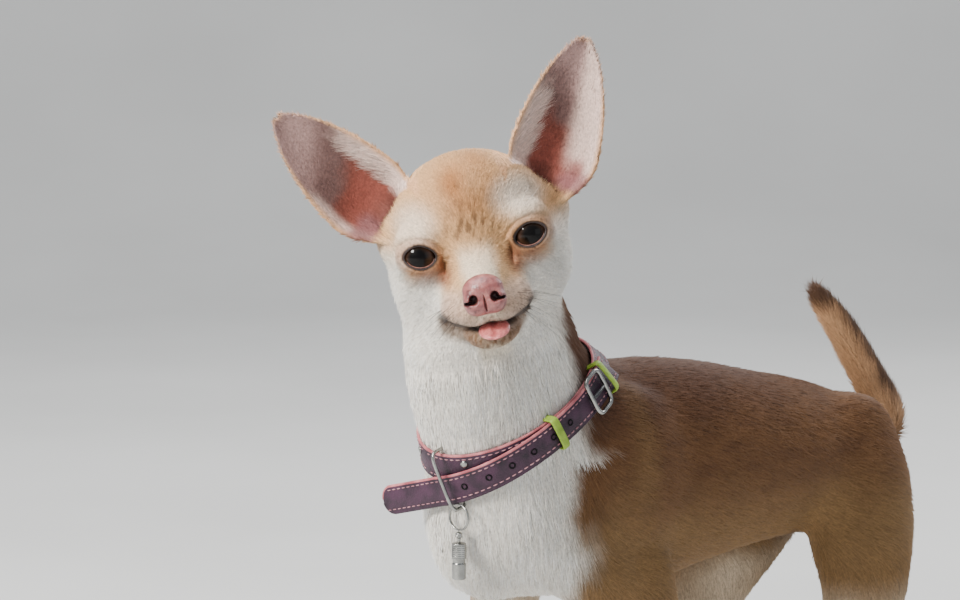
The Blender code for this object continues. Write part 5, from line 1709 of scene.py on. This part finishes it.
PURPLE = leather("purple_leather_grain", linear(32, 16, 30), linear(66, 36, 58))
PINK_EDGE = leather("pink_edge", linear(150, 74, 82), linear(204, 126, 128), 0.6)
THREAD = leather("pale_thread", linear(140, 92, 102), linear(186, 140, 144), 0.7)
LIME = leather("lime_leather_grain", linear(118, 146, 40), linear(164, 194, 70))
STEEL = metal("plated_steel", linear(164, 164, 160), 0.20)
DARK_STEEL = metal("dark_steel", linear(84, 84, 86), 0.35)
EYELET = metal("black_eyelet", linear(36, 34, 36), 0.4)


# %% Straps, edges and stitches
def strap_piece(name, path, width, lift, thick, closed, material, slot, replaces=(), edge=0.35):
    """A strap: a rounded oblong profile of twelve points carried along the path's own ways."""
    centre, outward, across = path[:3]
    rounding = edge * thick
    profile = []
    for sx, sy in ((-1, 0), (1, 0), (1, 1), (-1, 1)):
        for k in range(3):
            angle = {(-1, 0): math.pi, (1, 0): 1.5 * math.pi, (1, 1): 0.0, (-1, 1): 0.5 * math.pi}[(sx, sy)]
            angle += k * math.pi / 4
            profile.append((sx, sy, math.cos(angle), math.sin(angle)))
    profile = np.array(profile)
    half = width[:, None] / 2 - rounding
    sideways = profile[None, :, 0] * half + rounding * profile[None, :, 2]
    height = np.where(profile[:, 1] > 0, thick - rounding, rounding)[None, :] + rounding * profile[None, :, 3]
    height = height + lift[:, None]
    points = centre[:, None] + sideways[..., None] * across[:, None] + height[..., None] * outward[:, None]
    count, sides = len(centre), len(profile)
    if closed:
        faces = (grid_faces(count + 1, sides) % (count * sides)).tolist()
    else:
        faces = grid_faces(count, sides).tolist()
        faces += [tuple(range(sides)), tuple(range((count - 1) * sides, count * sides))]
    return solid_piece(name, (points, faces), material, slot, replaces)


def stitch_row(path, lift, thick, offsets, spacing=0.0030, closed=False):
    """Short threads along lines beside the strap's middle, each a tube bowed over the leather."""
    centre, outward, across = path[:3]
    if closed:
        centre, outward, across = (np.vstack((part, part[:1])) for part in (centre, outward, across))
        lift = np.append(lift, lift[0])
    parts = []
    for offset in offsets:
        line = centre + offset * across + (lift + thick)[:, None] * outward
        run = np.concatenate(((0.0,), np.cumsum(np.linalg.norm(np.diff(line, axis=0), axis=1))))
        for start in np.arange(0.0012, run[-1] - spacing, spacing):
            places = start + np.linspace(0.0, 0.62 * spacing, 6)
            path_points = np.stack([np.interp(places, run, line[:, i]) for i in range(3)], axis=1)
            up = unit(np.stack([np.interp(places, run, outward[:, i]) for i in range(3)], axis=1))
            bow = np.sin(np.linspace(0.0, math.pi, 6))
            path_points = path_points + up * (0.00026 * bow - 0.00012)[:, None]
            parts.append(tube_along(path_points, 0.00020 + 0.00008 * bow, 6, facing=up))
    return joined(parts)


inner_angles = np.linspace(0.0, 2 * math.pi, 180, endpoint=False)
inner_path = strap_frame(INNER_PLANE, inner_angles)
inner_width = np.full(len(inner_angles), STRAP_WIDTH)
inner_lift = np.full(len(inner_angles), GAP)
outer_path = outer_frame()
for name, path, width, lift, closed, node in (
    ("strap_inner", inner_path, inner_width, inner_lift, True, "collar_strap"),
    ("strap_outer", outer_path, outer_path[3], outer_path[4], False, "collar_free_end"),
):
    strap_piece(name, path, width, lift, STRAP_THICK, closed, PURPLE, "purple_leather", (node,))


EDGE_BEAD = 0.00072


def edge_tube(path, width, lift, closed, side):
    """One edge of a strap as a thin rounded bead of leather."""
    centre, outward, across = path[:3]
    raised = (lift + STRAP_THICK * 0.62)[:, None] * outward
    line = centre + side * (width / 2 - 0.0002)[:, None] * across + raised
    return tube_along(line, np.full(len(line), EDGE_BEAD), 8, closed=closed, facing=outward)


for side, edge, finish in ((1.0, "upper", PINK_EDGE), (-1.0, "lower", PURPLE)):
    shape = edge_tube(inner_path, inner_width, inner_lift, True, side)
    solid_piece("strap_inner_edge_" + edge, shape, finish, "purple_leather")
    shape = edge_tube(outer_path, outer_path[3], outer_path[4], False, side)
    solid_piece("strap_outer_edge_" + edge, shape, finish, "purple_leather")

STITCH_LINES = (-0.0043, 0.0043)
stitches = stitch_row(inner_path, inner_lift, STRAP_THICK, STITCH_LINES, closed=True)
solid_piece("strap_inner_stitches", stitches, THREAD, "purple_leather")
short_path = tuple(part[:-2] for part in outer_path[:3])
stitches = stitch_row(short_path, outer_path[4][:-2], STRAP_THICK, STITCH_LINES)
solid_piece("strap_outer_stitches", stitches, THREAD, "purple_leather")
round_length = np.linalg.norm(np.diff(inner_path[0], axis=0), axis=1).sum()
print("collar round the neck", round(round_length * 1000), "mm")


# %% [markdown]
# Small metal parts: black eyelets along the free end, rivets on the inner strap, the D-ring, the
# buckle with its pin, and the tag, a small knurled cylinder that hangs from a split ring.

# %% Hardware
def disc_rings(place, out, profile, sides=24):
    """A solid turned round a way out of the leather from pairs of height and radius."""
    frame_ways = axes_with(out)
    turn = np.linspace(0.0, 2 * math.pi, sides, endpoint=False)
    ring = np.cos(turn)[:, None] * frame_ways[0] + np.sin(turn)[:, None] * frame_ways[1]
    profile = np.asarray(profile, dtype=float)
    points = place + profile[:, 0][:, None, None] * frame_ways[2] + profile[:, 1][:, None, None] * ring[None]
    faces = grid_faces(len(profile), sides).tolist()
    faces += [tuple(range(sides)), tuple(range((len(profile) - 1) * sides, len(profile) * sides))]
    return points.reshape(-1, 3), faces


def loop_piece(place, tall_way, deep_way, tall, deep, wire, ribbon, bow=0.42, count=96, sides=12):
    """A closed loop with an oblong or round outline: powers of cosine and sine bow its sides."""
    along_way = np.cross(tall_way, deep_way)
    angle = np.linspace(0.0, 2 * math.pi, count, endpoint=False)
    wide = np.abs(np.cos(angle)) ** bow * np.sign(np.cos(angle)) * tall
    thick = np.abs(np.sin(angle)) ** bow * np.sign(np.sin(angle)) * deep
    out = np.cos(angle)[:, None] * tall_way / tall**0.1 + np.sin(angle)[:, None] * deep_way / deep**0.1
    out = unit(out)
    middle = place + wide[:, None] * tall_way + thick[:, None] * deep_way
    turn = np.linspace(0.0, 2 * math.pi, sides, endpoint=False)
    points = middle[:, None] + wire * np.cos(turn)[None, :, None] * out[:, None]
    points = points + ribbon * np.sin(turn)[None, :, None] * along_way
    return points.reshape(-1, 3), (grid_faces(count + 1, sides) % (count * sides)).tolist()


middle_lift = (GAP + OUTER_LIFT + STRAP_THICK) / 2
stack_depth = (OUTER_LIFT + STRAP_THICK - GAP) / 2 + 2 * GAP
inner_place, inner_out, inner_up, _ = (part[0] for part in strap_frame(INNER_PLANE, [RING_ANGLES[0]]))
outer_place, outer_out, outer_up, _ = (part[0] for part in strap_frame(OUTER_PLANE, [RING_ANGLES[1]]))
ring_top = inner_place + inner_up * STRAP_WIDTH / 2 + inner_out * middle_lift
ring_foot = outer_place - outer_up * STRAP_WIDTH / 2 + outer_out * middle_lift
ring_tall = unit(ring_top - ring_foot)
ring_deep = unit(inner_out - (inner_out @ ring_tall) * ring_tall)
ring_half = np.linalg.norm(ring_top - ring_foot) / 2 + 0.0028
ring_middle = (ring_top + ring_foot) / 2 + 0.0008 * ring_deep
shape = loop_piece(ring_middle, ring_tall, ring_deep, ring_half, stack_depth + 0.0021, 0.0008, 0.0008)
solid_piece("d_ring", shape, STEEL, "bright_steel", ("collar_d_ring",))

for name, node, angle in (
    ("keeper_front", "collar_keeper_front", KEEPER_ANGLE),
    ("keeper_buckle", "collar_keeper_buckle", BUCKLE_ANGLE + 0.29),
):
    place, out, up, _ = (part[0] for part in strap_frame(OUTER_PLANE, [angle]))
    half_height = STRAP_WIDTH / 2 + 0.0014
    centre = place + out * middle_lift
    shape = loop_piece(centre, up, out, half_height, stack_depth + 0.0010, 0.0007, 0.0020, 0.3)
    solid_piece(name, shape, LIME, "lime_leather", (node,))

place, out, up, along = (part[0] for part in strap_frame(OUTER_PLANE, [BUCKLE_ANGLE]))
top_lift = OUTER_LIFT + STRAP_THICK + GAP + 0.0010
shape = loop_piece(place + out * top_lift, up, along, 0.0082, 0.0068, 0.0010, 0.0010)
solid_piece("buckle_frame", shape, STEEL, "bright_steel", ("collar_buckle",))
pin_path = place + out * (top_lift + 0.0001) + along * np.linspace(-0.0054, 0.0056, 16)[:, None]
pin_path = pin_path + out * (0.0004 * np.sin(np.linspace(0, math.pi, 16)))[:, None]
pin_radii = np.interp(np.linspace(0, 1, 16), (0, 0.1, 0.85, 1), (0.0007, 0.0009, 0.0008, 0.0004))
pin = tube_along(pin_path, pin_radii, 12)
solid_piece("buckle_pin", pin, DARK_STEEL, "bright_steel", ("collar_buckle_pin",))

for number, angle in ((1, -0.17), (2, 0.42)):
    place, out, up, _ = (part[0] for part in strap_frame(INNER_PLANE, [angle]))
    start = place + out * (GAP + STRAP_THICK) + up * 0.0022
    dome = ((-0.0004, 0.0013), (0.0001, 0.0017), (0.0004, 0.0016), (0.0007, 0.0011), (0.0008, 0.0004))
    shape = disc_rings(start, out, dome)
    solid_piece("rivet_%d" % number, shape, STEEL, "bright_steel", ("collar_rivet_%d" % number,))

eyelets = []
run = np.concatenate(((0.0,), np.cumsum(np.linalg.norm(np.diff(outer_path[0], axis=0), axis=1))))
for share in (0.30, 0.37, 0.44, 0.51, 0.58, 0.655):
    where = share * run[-1]
    place = np.array([np.interp(where, run, outer_path[0][:, i]) for i in range(3)])
    out = unit(np.array([np.interp(where, run, outer_path[1][:, i]) for i in range(3)]))
    lift = np.interp(where, run, outer_path[4])
    ring = ((-0.0003, 0.0012), (0.0002, 0.00155), (0.00042, 0.0013), (0.00030, 0.0009), (-0.0002, 0.0007))
    eyelets.append(disc_rings(place + out * (lift + STRAP_THICK), out, ring))
solid_piece("eyelets", joined(eyelets), EYELET, "bright_steel")

down = np.array((0.0, 0.0, -1.0))
LINK_RADIUS = 0.0055
ring_low = ring_middle - ring_tall * ring_half
link_centre = ring_low + 0.0010 * ring_deep + down * (LINK_RADIUS - 0.0019)
facing = unit(np.array((ring_deep[0], ring_deep[1], 0.0)))
link_across = np.cross(down, facing)
COIL_POINTS = 160
coil = np.linspace(0.0, 4 * math.pi, COIL_POINTS)
coil_path = link_centre + LINK_RADIUS * (np.cos(coil)[:, None] * down + np.sin(coil)[:, None] * link_across)
coil_path = coil_path + facing * np.linspace(-0.00042, 0.00042, COIL_POINTS)[:, None]
all_facing = np.tile(facing, (COIL_POINTS, 1))
shape = tube_along(coil_path, np.full(COIL_POINTS, 0.00040), 10, facing=all_facing)
solid_piece("split_ring", shape, STEEL, "bright_steel", ("tag_split_ring",))


KNURL_TURNS = 14
KNURL_CLIMB = 3600
KNURL_DEPTH = 0.00014


def barrel(top, profile, knurl_from, knurl_to, sides=72, rows=90):
    """A cylinder hanging from top, its radius by a profile, with a band of crossed ridges."""
    length = profile[-1][0]
    along = np.linspace(0.0, length, rows)
    turn = np.linspace(0.0, 2 * math.pi, sides, endpoint=False)
    radius = np.interp(along, [p[0] for p in profile], [p[1] for p in profile])
    band_share = smoothstep(knurl_from, knurl_from + 0.0003, along)
    band_share = band_share * smoothstep(knurl_to, knurl_to - 0.0003, along)
    spin, climb = KNURL_TURNS * turn[None, :], KNURL_CLIMB * along[:, None]
    wave = np.cos(spin + climb) * np.cos(spin - climb)
    radius = radius[:, None] + KNURL_DEPTH * wave * band_share[:, None]
    ways = axes_with(down)
    ring = np.cos(turn)[:, None] * ways[0] + np.sin(turn)[:, None] * ways[1]
    points = top + along[:, None, None] * down + radius[..., None] * ring[None]
    faces = grid_faces(rows, sides).tolist()
    faces += [tuple(range(sides)), tuple(range((rows - 1) * sides, rows * sides))]
    return points.reshape(-1, 3), faces


tag_top = link_centre + down * (LINK_RADIUS + 0.0005 + GAP)
cap_profile = ((0.0, 0.0006), (0.0006, 0.0015), (0.0022, 0.0015), (0.0028, 0.0008), (0.0040, 0.0008))
shape = barrel(tag_top, cap_profile, 0.0008, 0.0020, 32, 40)
solid_piece("tag_cap_turned", shape, STEEL, "bright_steel", ("tag_cap",))
barrel_profile = ((0.0, 0.0012), (0.0003, 0.0024), (0.0007, 0.0031), (0.0072, 0.0031), (0.0076, 0.0027))
barrel_profile += ((0.0090, 0.0027), (0.0094, 0.0030), (0.0158, 0.0030), (0.0162, 0.0026), (0.0164, 0.0014))
shape = barrel(tag_top + down * (0.0040 + GAP), barrel_profile, 0.0012, 0.0068)
solid_piece("tag_cylinder", shape, STEEL, "bright_steel", ("tag_barrel",))

# %% [markdown]
# The stage is a plain pale floor that bends up behind. The light is soft and comes mostly from
# above and to the left, as under an open sky, with weak fill from the right. The camera stands
# fifty degrees round to the dog's left, and looks down on the head by seven degrees.

# %% Floor, light and camera
def pale_floor():
    """A sheet that runs flat under the animal and curves up far behind it."""
    run = np.concatenate((np.linspace(-3.0, 2.0, 30), 2.0 + 1.2 * np.sin(np.linspace(0.05, math.pi / 2, 16))))
    rise = np.concatenate((np.zeros(30), 1.2 * (1 - np.cos(np.linspace(0.05, math.pi / 2, 16)))))
    run, rise = np.append(run, 3.2), np.append(rise, 4.0)
    back = np.array((-math.sin(CAMERA_TURN), math.cos(CAMERA_TURN), 0.0))
    right = np.array((math.cos(CAMERA_TURN), math.sin(CAMERA_TURN), 0.0))
    side = np.linspace(-4.0, 4.0, 12)
    points = run[:, None, None] * back + side[None, :, None] * right
    points = points + rise[:, None, None] * np.array((0, 0, 1.0))
    material, tree, shader = surface("pale_floor", 0.9)
    haze = object_noise(tree, 3.0)
    stops = ((0.3, (0.60, 0.60, 0.59)), (0.7, (0.66, 0.66, 0.65)))
    tree.links.new(ramp(tree, haze, stops), shader.inputs["Base Color"])
    mesh = bpy.data.meshes.new("pale_floor")
    mesh.from_pydata((points.reshape(-1, 3)).tolist(), [], grid_faces(len(run), 12, around=False).tolist())
    mesh.shade_smooth()
    mesh.materials.append(material)
    item = bpy.data.objects.new("pale_floor", mesh)
    bpy.context.scene.collection.objects.link(item)


def soft_lamp(name, place, aim, size, power, colour):
    """A square area lamp turned to a place."""
    lamp = bpy.data.lights.new(name, "AREA")
    lamp.shape = "SQUARE"
    lamp.size = size
    lamp.energy = power
    lamp.color = colour
    item = bpy.data.objects.new(name, lamp)
    item.location = place
    way = Vector(np.asarray(aim) - np.asarray(place))
    item.rotation_euler = way.to_track_quat("-Z", "Y").to_euler()
    bpy.context.scene.collection.objects.link(item)


CAMERA_TURN = math.radians(50)
CAMERA_RISE = math.radians(7)
CAMERA_AWAY = 1.5
PICTURE = (960, 600)
SENSOR_WIDTH = 36.0
FOCAL_PIXELS = 3573.0
AIM = np.array((0.025, -0.105, 0.293))
AIM_PIXEL = (473.5, 246.5)
flat_sin, flat_cos = math.sin(CAMERA_TURN), math.cos(CAMERA_TURN)
tilt_sin, tilt_cos = math.sin(CAMERA_RISE), math.cos(CAMERA_RISE)
camera_back = np.array((flat_sin * tilt_cos, -flat_cos * tilt_cos, tilt_sin))
camera_right = np.array((flat_cos, flat_sin, 0.0))
camera_up = np.array((-flat_sin * tilt_sin, flat_cos * tilt_sin, tilt_cos))
camera_place = AIM + SHIFT + CAMERA_AWAY * camera_back
camera_place = camera_place - camera_right * (AIM_PIXEL[0] - PICTURE[0] / 2) / FOCAL_PIXELS * CAMERA_AWAY
camera_place = camera_place + camera_up * (AIM_PIXEL[1] - PICTURE[1] / 2) / FOCAL_PIXELS * CAMERA_AWAY
camera = bpy.data.objects.new("camera", bpy.data.cameras.new("camera"))
camera.data.sensor_width = SENSOR_WIDTH
camera.data.lens = FOCAL_PIXELS * SENSOR_WIDTH / PICTURE[0]
camera.data.clip_start = 0.05
camera.location = camera_place
camera.rotation_euler = (math.pi / 2 - CAMERA_RISE, 0.0, CAMERA_TURN)
bpy.context.scene.collection.objects.link(camera)
bpy.context.scene.camera = camera
pale_floor()
middle = np.array((0.0, 0.0, 0.22))
up_way = np.array((0.0, 0.0, 1.0))
for name, nearer, rightward, higher, size, power, colour in (
    ("sky", 0.2, -0.6, 1.7, 1.5, 46.0, (1.0, 1.0, 1.0)),
    ("key", 1.1, -1.4, 0.9, 0.45, 62.0, (1.0, 0.96, 0.90)),
    ("fill", 1.5, 1.5, 0.3, 1.2, 4.0, (0.94, 0.97, 1.0)),
    ("back", -1.2, 0.8, 1.1, 0.9, 16.0, (1.0, 1.0, 1.0)),
):
    place = middle + nearer * camera_back + rightward * camera_right + higher * up_way
    soft_lamp(name, place, middle, size, power, colour)
world = bpy.data.worlds.new("soft_room")
world.use_nodes = True
world.node_tree.nodes["Background"].inputs["Color"].default_value = (0.80, 0.84, 0.90, 1.0)
world.node_tree.nodes["Background"].inputs["Strength"].default_value = 0.60
bpy.context.scene.world = world
